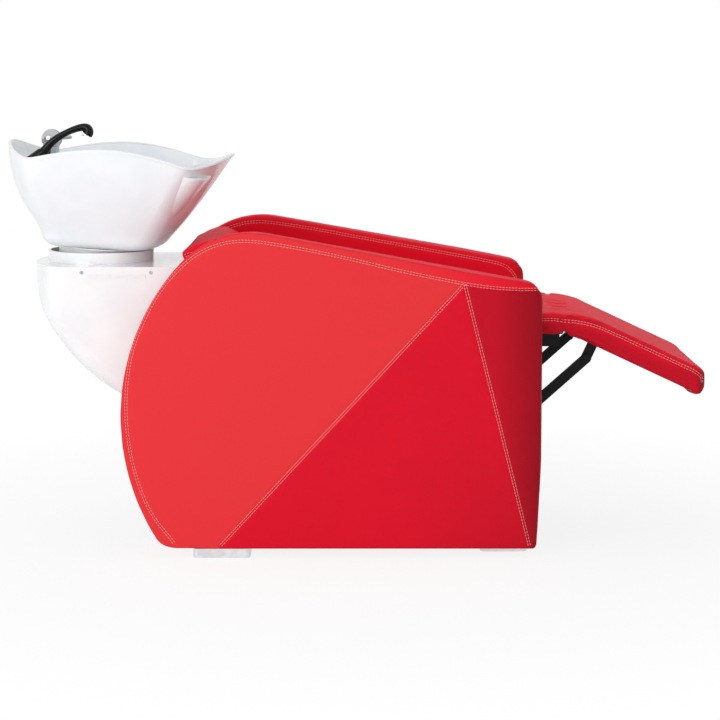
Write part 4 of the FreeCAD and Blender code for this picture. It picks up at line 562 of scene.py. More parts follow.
def rings_to_mesh(
    name: str, rings: Sequence[np.ndarray], capped: tuple[bool, bool] = (True, True)
) -> bpy.types.Object:
    """A skin through closed rings of equal count.

    Args:
        name: name of the object.
        rings: arrays of points, one ring each.
        capped: whether the first and last ring are closed by one face.

    Returns:
        The new object, its faces pointing outwards.
    """
    count = len(rings[0])
    faces = []
    for row in range(len(rings) - 1):
        for step in range(count):
            after = (step + 1) % count
            here = row * count
            above = here + count
            faces.append((here + step, here + after, above + after, above + step))
    if capped[0]:
        faces.append(tuple(reversed(range(count))))
    if capped[1]:
        faces.append(tuple((len(rings) - 1) * count + step for step in range(count)))
    item = from_faces(name, np.concatenate(rings), faces)
    outward(item)
    return item


def paint_light_and_shade(item: bpy.types.Object, values: np.ndarray) -> None:
    """Gives each vertex of a cover its tone of painted light and shade, from dark to light."""
    layer = item.data.attributes.new("tone", "FLOAT", "POINT")
    layer.data.foreach_set("value", np.clip(values, 0, 1).astype(np.float32))


def fit_box(item: bpy.types.Object, low: np.ndarray, high: np.ndarray) -> None:
    """Stretches a mesh slightly so that it fills a box again after smoothing."""
    spots = points_of(item)
    before = spots.min(axis=0)
    after = spots.max(axis=0)
    move_to(item, low + (spots - before) * (high - low) / (after - before))


def finish_piece(
    item: bpy.types.Object,
    material: bpy.types.Material,
    body: Body | None,
    replaced: Sequence[str] = (),
) -> bpy.types.Object:
    """Dresses a piece and puts it on its body.

    Args:
        item: the piece.
        material: its finish.
        body: the body that it rides on, or None where it spans a joint and is put on no body.
        replaced: nodes of the frame that it stands for.

    Returns:
        The piece.
    """
    item.data.materials.clear()
    item.data.materials.append(material)
    if body is not None:
        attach(item, body.value)
    if replaced:
        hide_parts(*replaced)
    log.info("%s: %d faces", item.name, len(item.data.polygons))
    return item


def curve_through(points: Sequence[Sequence[float]], step: float) -> np.ndarray:
    """Evenly spaced points on a smooth curve through given points.

    Args:
        points: the points, in two or three dimensions.
        step: distance between the new points.

    Returns:
        The new points, one row each.
    """
    spots = np.array(points, float)
    padded = np.vstack([2 * spots[0] - spots[1], spots, 2 * spots[-1] - spots[-2]])
    rows = []
    for place in range(1, len(padded) - 2):
        p0, p1, p2, p3 = padded[place - 1 : place + 3]
        for t in np.linspace(0, 1, 24, endpoint=False):
            bend = 2 * p0 - 5 * p1 + 4 * p2 - p3
            twist = 3 * p1 - p0 - 3 * p2 + p3
            rows.append(0.5 * (2 * p1 + (p2 - p0) * t + bend * t * t + twist * t**3))
    rows.append(padded[-2])
    return evenly(np.array(rows), step)


def evenly(rows: np.ndarray, step: float) -> np.ndarray:
    """Evenly spaced points along a line of points."""
    run = np.concatenate([[0], np.cumsum(np.linalg.norm(np.diff(rows, axis=0), axis=1))])
    count = max(int(run[-1] / step), 2)
    where = np.linspace(0, run[-1], count + 1)
    return np.stack([np.interp(where, run, rows[:, k]) for k in range(rows.shape[1])], axis=1)


def line_at(points: Sequence[Sequence[float]], y: float) -> np.ndarray:
    """A smooth line through points given along and up, in a plane at y."""
    flat = curve_through(points, SEAM_STEP)
    return np.stack([flat[:, 0], np.full(len(flat), y), flat[:, 1]], axis=1)


def distance_to(spots: np.ndarray, line: np.ndarray) -> np.ndarray:
    """Distance of each point from a densely sampled line."""
    best = np.full(len(spots), FAR)
    for start in range(0, len(line), 24):
        part = line[start : start + 24]
        gap = np.linalg.norm(spots[:, None, :] - part[None, :, :], axis=2).min(axis=1)
        best = np.minimum(best, gap)
    return best


# Stitching


@dataclass
class Stitching:
    """Rows of stitches laid on a piece along seam lines."""

    thread: bpy.types.Material
    pitch: float = 0.0074
    length: float = 0.0064
    radius: float = 0.00075
    apart: float = 0.0054

    def stitch_mesh(self) -> tuple[np.ndarray, list]:
        """One stitch along X: a slim bead, made once.

        Returns:
            Its points and faces.
        """
        turn = (0, math.pi / 2, 0)
        bpy.ops.mesh.primitive_uv_sphere_add(segments=6, ring_count=4, radius=1.0, rotation=turn)
        item = bpy.context.object
        item.scale = (self.radius, self.radius, self.length / 2)
        settle(item)
        spots = points_of(item).copy()
        faces = [tuple(face.vertices) for face in item.data.polygons]
        bpy.data.objects.remove(item)
        return spots, faces

    def sew(
        self,
        name: str,
        target: bpy.types.Object,
        lines: Sequence[tuple[np.ndarray, Vector]],
        body: Body | None,
    ) -> bpy.types.Object:
        """Sews along lines on a piece.

        Args:
            name: name of the stitches' object.
            target: the piece that carries them.
            lines: each a line of points near the surface and the direction to look for it.
            body: the body that they ride on, or None where they span a joint and are put on no body.

        Returns:
            The stitches as one object.
        """
        tree = tree_of(target)
        bead, bead_faces = self.stitch_mesh()
        spots = []
        faces = []
        for line, look in lines:
            track = evenly(line, self.pitch)
            landed = []
            for spot in track:
                start = Vector(spot) - look * 0.06
                hit, normal, _, _ = tree.ray_cast(start, look, 0.14)
                landed.append((hit, normal) if hit is not None else None)
            for before, after in zip(landed, landed[1:]):
                if before is None or after is None:
                    continue
                along = after[0] - before[0]
                if along.length > self.pitch * 2.2 or along.length < self.pitch * 0.3:
                    continue
                normal = (before[1] + after[1]).normalized()
                along.normalize()
                side = normal.cross(along).normalized()
                middle = (before[0] + after[0]) / 2
                for off in (-self.apart / 2, self.apart / 2):
                    guess = middle + side * off
                    hit, up, _, _ = tree.ray_cast(guess + normal * 0.01, -normal, 0.03)
                    if hit is None:
                        continue
                    across = up.cross(along).normalized()
                    frame = np.array([along, across, up])
                    base = len(spots)
                    spots.extend(np.array(hit) + bead @ frame + np.array(up) * self.radius * 0.35)
                    faces.extend(tuple(base + k for k in face) for face in bead_faces)
        item = from_faces(name, spots, faces)
        round_off(item)
        return finish_piece(item, self.thread, body)


# Upholstery


@dataclass
class Cover:
    """A padded piece grown from the solids that it covers."""

    name: str
    nodes: tuple[str, ...]
    cell: float
    rounding: int
    pressure: float = 0.0
    cap: float = 0.0
    shrink: float = 0.0
    low: np.ndarray | None = None
    high: np.ndarray | None = None

    def grow(self, nodes: dict) -> bpy.types.Object:
        """Copies the solids, joins them and gives them an even skin.

        Args:
            nodes: the frame's objects by node name.

        Returns:
            The skin, smoothed.
        """
        copies = []
        for node in self.nodes:
            copy = bpy.data.objects.new(self.name, nodes[node].data.copy())
            copy.data.materials.clear()
            bpy.context.scene.collection.objects.link(copy)
            only(copy)
            if copy.data.has_custom_normals:
                bpy.ops.mesh.customdata_custom_splitnormals_clear()
            outward(copy)
            copies.append(copy)
        base = copies[0]
        for other in copies[1:]:
            modify(base, "BOOLEAN", operation="UNION", object=other, solver="EXACT")
            bpy.data.objects.remove(other)
        spots = points_of(base)
        self.low = spots.min(axis=0)
        self.high = spots.max(axis=0)
        modify(base, "REMESH", mode="VOXEL", voxel_size=self.cell)
        self.keep_largest(base)
        modify(base, "SMOOTH", factor=0.5, iterations=self.rounding)
        fit_box(base, self.low, self.high)
        return base

    def keep_largest(self, item: bpy.types.Object) -> None:
        """Leaves only the largest shell of a mesh."""
        work = bmesh.new()
        work.from_mesh(item.data)
        seen: set = set()
        groups = []
        for start in work.verts:
            if start in seen:
                continue
            group = [start]
            seen.add(start)
            for spot in group:
                for edge in spot.link_edges:
                    other = edge.other_vert(spot)
                    if other not in seen:
                        seen.add(other)
                        group.append(other)
            groups.append(group)
        groups.sort(key=len)
        bmesh.ops.delete(work, geom=[v for group in groups[:-1] for v in group], context="VERTS")
        work.to_mesh(item.data)
        work.free()
        item.data.update()

    def swell(self, item: bpy.types.Object) -> None:
        """Fills the cover like foam under cloth, and keeps it near its solid."""
        if self.shrink:
            modify(item, "DISPLACE", strength=-self.shrink, mid_level=0.0)
        if not self.pressure:
            return
        rest = points_of(item).copy()
        only(item)
        bpy.ops.object.modifier_add(type="CLOTH")
        cloth = item.modifiers[-1]
        fabric = {
            "use_pressure": True,
            "uniform_pressure_force": self.pressure,
            "quality": 5,
            "mass": 0.3,
            "tension_stiffness": 25,
            "compression_stiffness": 25,
            "bending_stiffness": 2.0,
        }
        for key, value in fabric.items():
            setattr(cloth.settings, key, value)
        cloth.settings.effector_weights.gravity = 0.0
        cloth.collision_settings.use_collision = False
        scene = bpy.context.scene
        for frame in range(1, 17):
            scene.frame_set(frame)
        bpy.ops.object.modifier_apply(modifier=cloth.name)
        scene.frame_set(1)
        moved = points_of(item) - rest
        reach = np.linalg.norm(moved, axis=1)
        share = np.minimum(1.0, self.cap / np.maximum(reach, 1e-9))
        move_to(item, rest + moved * share[:, None])

    def groove(self, item: bpy.types.Object, lines: Sequence[np.ndarray], depth: float, width: float) -> None:
        """Draws the cover in along its seams.

        Args:
            item: the cover.
            lines: seam lines in three dimensions.
            depth: how far the seam is drawn in.
            width: half width of the valley.
        """
        spots = points_of(item)
        normals = normals_of(item)
        gap = np.full(len(spots), FAR)
        for line in lines:
            low = line.min(axis=0) - 4 * width
            high = line.max(axis=0) + 4 * width
            near = np.all((spots > low) & (spots < high), axis=1)
            if near.any():
                gap[near] = np.minimum(gap[near], distance_to(spots[near], line))
        pull = depth * np.exp(-((gap / width) ** 2))
        pucker = 1 + 0.35 * np.sin(spots[:, 0] * 410) * np.sin(spots[:, 2] * 370 + spots[:, 1] * 290)
        move_to(item, spots - normals * (pull * pucker)[:, None])

    def landed(self, item: bpy.types.Object, line: np.ndarray, look: Vector) -> np.ndarray:
        """A seam line brought onto the cover's surface along a direction."""
        tree = tree_of(item)
        rows = []
        for spot in evenly(line, 0.003):
            hit = tree.ray_cast(Vector(spot) - look * 0.06, look, 0.14)[0]
            if hit is not None:
                rows.append(hit)
        rows = np.array(rows)
        for _ in range(3):
            rows[1:-1] = rows[1:-1] * 0.5 + (rows[:-2] + rows[2:]) * 0.25
        return rows


@dataclass
class Armrests:
    """Both armrests: the right one is made and the left one is its mirror image."""

    outer: float = 0.340
    inner: float = 0.245
    crown: tuple = (
        (-0.421, 0.034), (-0.478, 0.112), (-0.516, 0.217), (-0.531, 0.334), (-0.522, 0.451), (-0.491, 0.545),
        (-0.441, 0.632), (-0.377, 0.697), (-0.312, 0.730), (-0.240, 0.738), (-0.125, 0.722), (-0.010, 0.699),
        (0.105, 0.673), (0.253, 0.644), (0.333, 0.633), (0.400, 0.6285), (0.4345, 0.628),
    )
    inner_crown: tuple = (
        (-0.421, 0.034), (-0.478, 0.112), (-0.516, 0.217), (-0.531, 0.334), (-0.522, 0.451), (-0.491, 0.545),
        (-0.441, 0.632), (-0.377, 0.697), (-0.312, 0.730), (-0.240, 0.741), (-0.125, 0.726), (-0.010, 0.705),
        (0.105, 0.684), (0.253, 0.657), (0.333, 0.642), (0.385, 0.628), (0.412, 0.600), (0.418, 0.560),
        (0.418, 0.400), (0.415, 0.200), (0.407, 0.040),
    )
    peak: tuple = (0.253, 0.644)
    back_foot: tuple = (-0.312, 0.030)
    front_foot: tuple = (0.408, 0.030)
    # Tone values of painted light and shade: a painted highlight on the upper facet, painted shade below the seam,
    # deeper painted shade in front and on the remaining faces.
    painted_highlight_tone: float = 0.98
    painted_shade_tone: float = 0.35
    front_shade_tone: float = 0.27
    rest_shade_tone: float = 0.45
    fill: float = 0.9

    def straight(self, start: tuple, end: tuple, y: float) -> np.ndarray:
        """A straight seam line in a plane at y."""
        rows = np.linspace(start, end, 60)
        return np.stack([rows[:, 0], np.full(len(rows), y), rows[:, 1]], axis=1)

    def build(self, nodes: dict, finishes: Finishes) -> None:
        """Makes both armrests and their stitching.

        Args:
            nodes: the frame's objects by node name.
            finishes: the bed's finishes.
        """
        cover = Cover("right_armrest_cover", ("right_armrest_pad", "right_armrest_core"), 0.0045, 7)
        item = cover.grow(nodes)
        look_in = Vector((0, 1, 0))
        look_out = Vector((0, -1, 0))
        outer_lines = [
            line_at(self.crown, -self.outer + 0.02),
            self.straight(self.peak, self.back_foot, -self.outer),
            self.straight(self.peak, self.front_foot, -self.outer),
        ]
        inner_line = line_at(self.inner_crown, -self.inner)
        look_back = Vector((-1, 0, 0))
        front_line = np.array([(0.44, y, 0.6275) for y in np.linspace(-0.3365, -0.246, 40)])
        seams = [cover.landed(item, line, look_in) for line in outer_lines]
        seams.append(cover.landed(item, inner_line, look_out))
        seams.append(cover.landed(item, front_line, look_back))
        cover.groove(item, seams, 0.0021, 0.0048)
        spots = points_of(item)
        face = (spots[:, 1] > -self.inner - 0.002) & (normals_of(item)[:, 1] > 0.9)
        spots[face, 1] += 0.0006
        move_to(item, spots)
        round_off(item)
        # Painted light and shade as the cover's tone.
        paint_light_and_shade(item, self.painted_shading(item))
        finish_piece(item, finishes.leather, Body.ROOT, ("right_armrest_pad",))
        sewing = Stitching(finishes.thread)
        looks = [(line, look_in) for line in outer_lines] + [(inner_line, look_out), (front_line, look_back)]
        thread = sewing.sew("right_armrest_stitches", item, looks, Body.ROOT)
        self.mirror(item, "left_armrest_cover", finishes.leather, ("left_armrest_pad",))
        self.mirror(thread, "left_armrest_stitches", finishes.thread)

    def painted_shading(self, item: bpy.types.Object) -> np.ndarray:
        """Tone of each vertex as painted light and shade: a painted highlight behind the long seam, painted shade
        below it and the darkest painted shade in front.
        """
        spots = points_of(item)
        normals = normals_of(item)
        rise = self.run_off(spots, self.back_foot)
        front = self.run_off(spots, self.front_foot)
        step_back = np.clip(0.5 + rise / SEAM_STEP, 0, 1)
        step_front = np.clip(0.5 + front / SEAM_STEP, 0, 1)
        toward_foot = np.clip((spots[:, 0] - 0.1) / 0.3, 0, 1) * np.clip((0.3 - spots[:, 2]) / 0.3, 0, 1)
        # Painted shade, deeper toward the front foot.
        deep = self.painted_shade_tone - 0.08 * toward_foot
        outer = deep * (1 - step_back) * step_front + self.painted_highlight_tone * step_back
        edge = np.clip((spots[:, 0] - 0.33) / 0.10, 0, 1)
        outer += (1 - step_front) * (1 - step_back) * (self.front_shade_tone - 0.10 * edge)
        seam = curve_through(self.crown, SEAM_STEP)
        seam = seam[seam[:, 0] > -0.30]
        height = np.interp(spots[:, 0], seam[:, 0], seam[:, 1])
        over = np.clip(0.5 + (spots[:, 2] - height) / SEAM_STEP, 0, 1)
        crown = over * np.clip((spots[:, 0] + 0.28) / 0.20, 0, 1)
        # Painted highlight along the crown, fading toward the front.
        top = 0.92 - 0.34 * np.clip((spots[:, 0] - 0.05) / 0.35, 0, 1)
        outer = outer * (1 - crown) + crown * top
        side = np.clip((np.abs(normals[:, 1]) - 0.35) / 0.3, 0, 1) * (spots[:, 1] < -0.268)
        # Painted shade on the remaining faces, darker where they face forward.
        rest = self.rest_shade_tone - 0.25 * np.clip(normals[:, 0], 0, 1)
        return side * outer + (1 - side) * rest

    def run_off(self, spots: np.ndarray, foot: tuple) -> np.ndarray:
        """Signed distance of points from the seam between the peak and a foot."""
        along = np.array(foot) - np.array(self.peak)
        along /= np.linalg.norm(along)
        away = spots[:, [0, 2]] - np.array(self.peak)
        return along[0] * -away[:, 1] + along[1] * away[:, 0]

    def mirror(
        self, source: bpy.types.Object, name: str, material: bpy.types.Material, replaced: tuple = ()
    ) -> None:
        """The mirror image of a piece across the middle of the bed, hiding the nodes that it stands for."""
        item = bpy.data.objects.new(name, source.data.copy())
        bpy.context.scene.collection.objects.link(item)
        spots = points_of(item)
        spots[:, 1] *= -1
        move_to(item, spots)
        item.data.flip_normals()
        finish_piece(item, material, Body.ROOT, replaced)


@dataclass
class Cushions:
    """Seat, back and legrest: soft pads with a double seam along each side."""

    half_width: float = 0.238
    leg_half_width: float = 0.235
    crease: float = 0.4945
    hinge_height: float = 0.536
    thickness: float = 0.095
    head_corner: tuple = (-0.3857, 0.6006)
    head_reach: float = 0.100
    head_stop: tuple = (-0.383, 0.6700)

    def build(self, nodes: dict, finishes: Finishes) -> None:
        """Makes the three cushions and their stitching.

        Args:
            nodes: the frame's objects by node name.
            finishes: the bed's finishes.
        """
        seat = ((0.4740, 0.5478), (0.440, 0.5475), (0.300, 0.538), (0.150, 0.525), (0.040, 0.5155))
        leg = (
            (0.5155, 0.5434), (0.530, 0.5410), (0.562, 0.5335), (0.600, 0.5180), (0.680, 0.4815), (0.760, 0.4445),
            (0.800, 0.4255), (0.8185, 0.4105), (0.8205, 0.396),
        )
        back = (
            (-0.4040, 0.684), (-0.4000, 0.694), (-0.389, 0.7015), (-0.366, 0.7050), (-0.330, 0.7015), (-0.280, 0.688),
            (-0.200, 0.634), (-0.100, 0.5575), (-0.040, 0.512),
        )
        root = Body.ROOT
        first = self.pad("seat", "seat_cushion", root, seat, self.half_width, nodes, finishes)
        self.pad("back", "back_cushion", root, back, self.half_width, nodes, finishes)
        second = self.pad("legrest", "legrest_pad", Body.LEGREST, leg, self.leg_half_width, nodes, finishes)
        self.gusset(first, second, finishes)

    def pad(
        self,
        part: str,
        node: str,
        body: Body,
        seam: Sequence,
        half: float,
        nodes: dict,
        finishes: Finishes,
    ) -> bpy.types.Object:
        """Makes one cushion.

        Args:
            part: seat, back or legrest.
            node: the node that it stands for.
            body: the body that it rides on.
            seam: points of its side seam, along and up.
            half: half its width.
            nodes: the frame's objects by node name.
            finishes: the bed's finishes.

        Returns:
            The cushion's cover.
        """
        name = part + "_cover"
        cover = Cover(name, (node, part + "_board"), 0.005, 4, pressure=3.0, cap=0.005, shrink=0.0035)
        item = cover.grow(nodes)
        cover.swell(item)
        edge = np.array((0.0004, 0.0, 0.0008))
        fit_box(item, cover.low - edge, cover.high + edge)
        if part == "back":
            self.head_end(item)
        lines = []
        seams = []
        for side in (-1, 1):
            look = Vector((0, -side, 0))
            line = line_at(seam, side * half)
            lines.append((line, look))
            seams.append(cover.landed(item, line, look))
        cover.groove(item, seams, 0.0022, 0.0055)
        self.crumple(item, part != "back")
        round_off(item)
        facing = normals_of(item)
        # Painted light and shade: lighter where the cover faces up, darker where it faces forward.
        paint_light_and_shade(item, 0.28 + 0.24 * np.clip(facing[:, 2], 0, 1) - 0.12 * np.clip(facing[:, 0], 0, 1))
        finish_piece(item, finishes.leather, body, (node,))
        Stitching(finishes.thread).sew(name + "_stitches", item, lines, body)
        return item

    def head_end(self, item: bpy.types.Object) -> None:
        """Rolls the top end of the back cushion over behind the sitter's neck.

        Args:
            item: the back's cover.
        """
        spots = points_of(item)
        along = np.array((-0.794, 0.607))
        upward = np.array((0.607, 0.794))
        flat = spots[:, [0, 2]] - np.array(self.head_corner)
        near = np.clip((flat @ along + self.head_reach) / self.head_reach, 0, 1)
        weight = near * near * (3 - 2 * near)
        height = flat @ upward / self.thickness
        shares = (0.0, 0.30, 0.45, 0.62, 0.80, 1.0, 1.25)
        back = np.interp(height, shares, (0.0, -0.004, -0.018, -0.026, -0.027, -0.019, -0.010))
        rise = np.interp(height, shares, (0.0, 0.016, 0.028, 0.025, 0.018, 0.008, 0.004))
        spots[:, 0] += weight * back
        spots[:, 2] += weight * rise
        stop, lip = self.head_stop
        over = (spots[:, 0] < stop) & (spots[:, 2] < lip)
        spots[over, 0] = stop
        move_to(item, spots)
        modify(item, "SMOOTH", factor=0.5, iterations=3)

    def pleats(self, x: np.ndarray, y: np.ndarray) -> np.ndarray:
        """How far the leather stands out near the crease between seat and legrest."""
        swing = 0.5 + 0.5 * np.sin(y * 31 + 1.7 * np.sin(y * 13))
        valley = (1 - np.abs(np.sin(y * 36 + 1.1 * np.sin(y * 17 + 0.6)))) ** 2
        fade = np.exp(-((np.abs(x - self.crease) / (0.018 + 0.030 * swing)) ** 1.5))
        return fade * (0.0008 - 0.0034 * valley * (0.35 + 0.65 * swing))

    def crumple(self, item: bpy.types.Object, pleated: bool) -> None:
        """Lays the underside over the board and, where asked, draws pleats toward the crease."""
        spots = points_of(item)
        normals = normals_of(item)
        under = np.clip((-normals[:, 2] - 0.6) / 0.2, 0, 1) * 0.0014
        spots += normals * under[:, None]
        if pleated:
            top = np.clip((normals[:, 2] - 0.1) / 0.4, 0, 1)
            spots += normals * (top * self.pleats(spots[:, 0], spots[:, 1]))[:, None]
        move_to(item, spots)

    def gusset(self, seat: bpy.types.Object, leg: bpy.types.Object, finishes: Finishes) -> None:
        """The strip of leather that runs on from the seat to the legrest over the hinge.

        Args:
            seat: the seat's cover.
            leg: the legrest's cover.
            finishes: the bed's finishes.
        """
        trees = {"seat": tree_of(seat), "leg": tree_of(leg)}
        sides = np.linspace(-4, 14, 12), np.linspace(166, 184, 12)
        turns = np.radians(np.concatenate([sides[0], np.linspace(14, 166, 130)[1:-1], sides[1]]))
        middle = self.hinge_height
        known = {}
        for x in (0.466, 0.472, 0.478, 0.511, 0.517, 0.523):
            key = "seat" if x < self.crease else "leg"
            row = []
            for turn in turns:
                look = Vector((0, math.cos(turn), math.sin(turn)))
                hit = trees[key].ray_cast(Vector((x, 0, middle)), look, 0.4)[0]
                row.append((hit - Vector((x, 0, middle))).length if hit is not None else 0.02)
            known[x] = np.array(row)
        places = np.array(sorted(known))
        reach = np.array([known[x] for x in places])
        stations = np.linspace(places[0], places[-1], 27)
        spots = []
        for x in stations:
            row = np.array([np.interp(x, places, reach[:, k]) for k in range(len(turns))])
            dip = 0.0024 * math.exp(-(((x - self.crease) / 0.0048) ** 2))
            edge = 0.0020 * (abs(x - self.crease) / 0.0285) ** 6
            skin = np.column_stack([np.full(len(turns), x), np.cos(turns) * row, middle + np.sin(turns) * row])
            out = np.column_stack([np.zeros(len(turns)), 0.4 * np.cos(turns), np.sin(turns)])
            spots.append(skin + out * (0.0011 - dip - edge))
        count = len(turns)
        faces = []
        for row in range(len(stations) - 1):
            for step in range(count - 1):
                low = row * count + step
                faces.append((low, low + count, low + count + 1, low + 1))
        item = from_faces("crease_gusset", np.concatenate(spots), faces)
        modify(item, "SMOOTH", factor=0.5, iterations=2)
        modify(item, "SUBSURF", levels=1, render_levels=1)
        normals = normals_of(item)
        upward = normals if normals[:, 2].mean() > 0 else -normals
        if normals[:, 2].mean() < 0:
            item.data.flip_normals()
        spots = points_of(item)
        lift = np.clip(upward[:, 2], 0, 1) * self.pleats(spots[:, 0], spots[:, 1])
        move_to(item, spots + upward * lift[:, None])
        round_off(item)
        # Painted light: lighter where the strip faces up.
        paint_light_and_shade(item, 0.28 + 0.22 * np.clip(upward[:, 2], 0, 1))
        finish_piece(item, finishes.leather, None)
        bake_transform(item)
        seam = ((0.4725, 0.5478), (0.4850, 0.5462), (0.4945, 0.5446), (0.5045, 0.5440), (0.5165, 0.5434))
        lines = [(line_at(seam, side * self.half_width), Vector((0, -side, 0))) for side in (-1, 1)]
        thread = Stitching(finishes.thread).sew("crease_stitches", item, lines, None)
        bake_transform(thread)


# Basin


@dataclass
class Basin:
    """The glazed basin, drawn as one skin from its foot over the rim and down to the drain."""

    depth: float = 0.262
    base_half: float = 0.127
    base_side: float = 0.118
    back_growth: float = 0.109
    front_growth: float = 0.196
    side_growth: float = 0.140
    corner: float = 0.050
    side_inset: float = 0.052
    base_inset: float = 0.062
    rim_inset: float = 0.112
    wall: float = 0.009
    deck: float = 0.190
    floor: float = 0.030
    levels: tuple = (0, 0.03, 0.126, 0.458, 0.698, 1)
    back_shares: tuple = (0, 0.095, 0.19, 0.695, 0.886, 1)
    front_shares: tuple = (0, 0.097, 0.214, 0.546, 0.755, 1)
    side_shares: tuple = (0, 0.107, 0.23, 0.636, 0.843, 1)
    points: int = 108
    rim_middle: float = 0.0465
    rim_half_length: float = 0.2005
    rim_half_width: float = 0.225
    rim_level: float = 0.245
    rim_fall: float = 0.029
    drain: tuple = (0.025, 0.0)
    drain_radius: float = 0.024
    drain_depth: float = 0.012

    def outline(self, back: float, front: float, side: float, inset: float, corner: float) -> np.ndarray:
        """A closed plan outline of long arcs and round corners.

        Args:
            back: reach to the back.
            front: reach to the front.
            side: half width.
            inset: how far the round corners reach into the length.
            corner: radius of the corners.

        Returns:
            Points round the outline, starting at the front and turning to the left.
        """
        side_in = self.side_inset - self.corner + corner
        rise = side - side_in
        back_x = -back + inset
        front_x = front - inset
        half = (front_x - back_x) / 2
        middle = (front_x + back_x) / 2
        long_radius = (half**2 + side_in**2 - corner**2) / (2 * (side_in - corner))
        end_radius = (rise**2 + inset**2 - corner**2) / (2 * (inset - corner))
        front_c = (front - end_radius, 0.0)
        back_c = (-back + end_radius, 0.0)
        top_c = (middle, side - long_radius)
        corner_front = (front_x, rise)
        corner_back = (back_x, rise)

        def heading(a: tuple, b: tuple) -> float:
            return math.atan2(b[1] - a[1], b[0] - a[0])

        turn_front = heading(front_c, corner_front)
        turn_top_front = heading(top_c, corner_front)
        turn_top_back = heading(top_c, corner_back)
        turn_back = heading(back_c, corner_back)
        rows = []

        def arc(centre: tuple, radius: float, start: float, end: float, count: int) -> None:
            for t in np.linspace(start, end, count, endpoint=False):
                rows.append((centre[0] + radius * math.cos(t), centre[1] + radius * math.sin(t)))

        arc(front_c, end_radius, 0, turn_front, 9)
        arc(corner_front, corner, turn_front, turn_top_front, 9)
        arc(top_c, long_radius, turn_top_front, turn_top_back, 18)
        arc(corner_back, corner, turn_top_back, turn_back, 9)
        arc(back_c, end_radius, turn_back, math.pi, 9)
        upper = np.array(rows + [(-back, 0.0)])
        lower = upper[1:-1][::-1] * (1, -1)
        return np.vstack([upper, lower])

    def reach(self, shares: tuple, level: float) -> float:
        """A growth share at a level, eased between the given levels."""
        spots = np.array(self.levels)
        values = np.array(shares)
        slopes = np.gradient(values, spots)
        place = int(np.clip(np.searchsorted(spots, level) - 1, 0, len(spots) - 2))
        width = spots[place + 1] - spots[place]
        t = (level - spots[place]) / width
        low, high = values[place], values[place + 1]
        a, b = slopes[place] * width, slopes[place + 1] * width
        ends = low * (2 * t**3 - 3 * t**2 + 1) + a * (t**3 - 2 * t**2 + t)
        return ends + high * (3 * t**2 - 2 * t**3) + b * (t**3 - t**2)

    def ring(self, level: float, wall: float) -> np.ndarray:
        """The outline at a level, drawn in by a wall."""
        inset = self.base_inset + (self.rim_inset - self.base_inset) * level - wall
        return self.outline(
            self.base_half + self.back_growth * self.reach(self.back_shares, level) - wall,
            self.base_half + self.front_growth * self.reach(self.front_shares, level) - wall,
            self.base_side + self.side_growth * self.reach(self.side_shares, level) - wall,
            inset,
            self.corner - wall,
        )

    def flat(self, outline: np.ndarray, height: float) -> np.ndarray:
        """A plan outline as a level ring at a height."""
        return np.column_stack([outline, np.full(self.points, height)])

    def rim_height(self, x: float, y: float) -> float:
        """Height of the rim over a point."""
        along = (x - self.rim_middle) / self.rim_half_length
        across = y / self.rim_half_width
        return self.rim_level - self.rim_fall * along * along * across * across

    def columns(self, wall: float, count: int) -> np.ndarray:
        """The wall's rings from the foot to the rim.

        Args:
            wall: how far the wall is drawn in.
            count: number of rings.

        Returns:
            Rings of points, the last one on the rim.
        """
        levels = np.linspace(0, 1.06, 160)
        rings = np.array([self.flat(self.ring(min(t, 1.0), wall), t * self.depth) for t in levels])
        rows = np.empty((count, self.points, 3))
        for column in range(self.points):
            line = rings[:, column]
            above = line[:, 2] - np.array([self.rim_height(p[0], p[1]) for p in line])
            end = int(np.argmax(above > 0)) or len(line) - 1
            part = -above[end - 1] / (above[end] - above[end - 1])
            top = end - 1 + part
            where = np.linspace(0, 1, count) ** 0.9 * top
            for axis in range(3):
                rows[:, column, axis] = np.interp(where, np.arange(len(line)), line[:, axis])
        return rows

    def bowl_rings(self) -> list[np.ndarray]:
        """Rings of the bowl from the deck down to its floor."""
        rows = []
        steps = (0, 0.025, 0.065, 0.12, 0.4, 1)
        for share in (1.0, 0.86, 0.7, 0.55, 0.4, 0.28, 0.19, 0.12, 0.065, 0.025, 0.0):
            z = self.floor + (self.deck - self.floor) * share
            level = z / self.depth
            narrow_front = float(np.interp(share, steps, (0.62, 0.74, 0.83, 0.89, 0.98, 1)))
            narrow_side = float(np.interp(share, steps, (0.66, 0.76, 0.84, 0.89, 0.98, 1)))
            front = self.base_half + self.front_growth * self.reach(self.front_shares, level)
            side = self.base_side + self.side_growth * self.reach(self.side_shares, level)
            front = front * narrow_front - self.wall
            side = side * narrow_side - self.wall
            back = float(np.interp(share, (0, 0.025, 0.12, 1), (0.040, 0.048, 0.058, 0.092)))
            ring = self.outline(back, front, side, self.base_inset - self.wall, self.corner - self.wall)
            rows.append(self.flat(ring, z))
        return rows

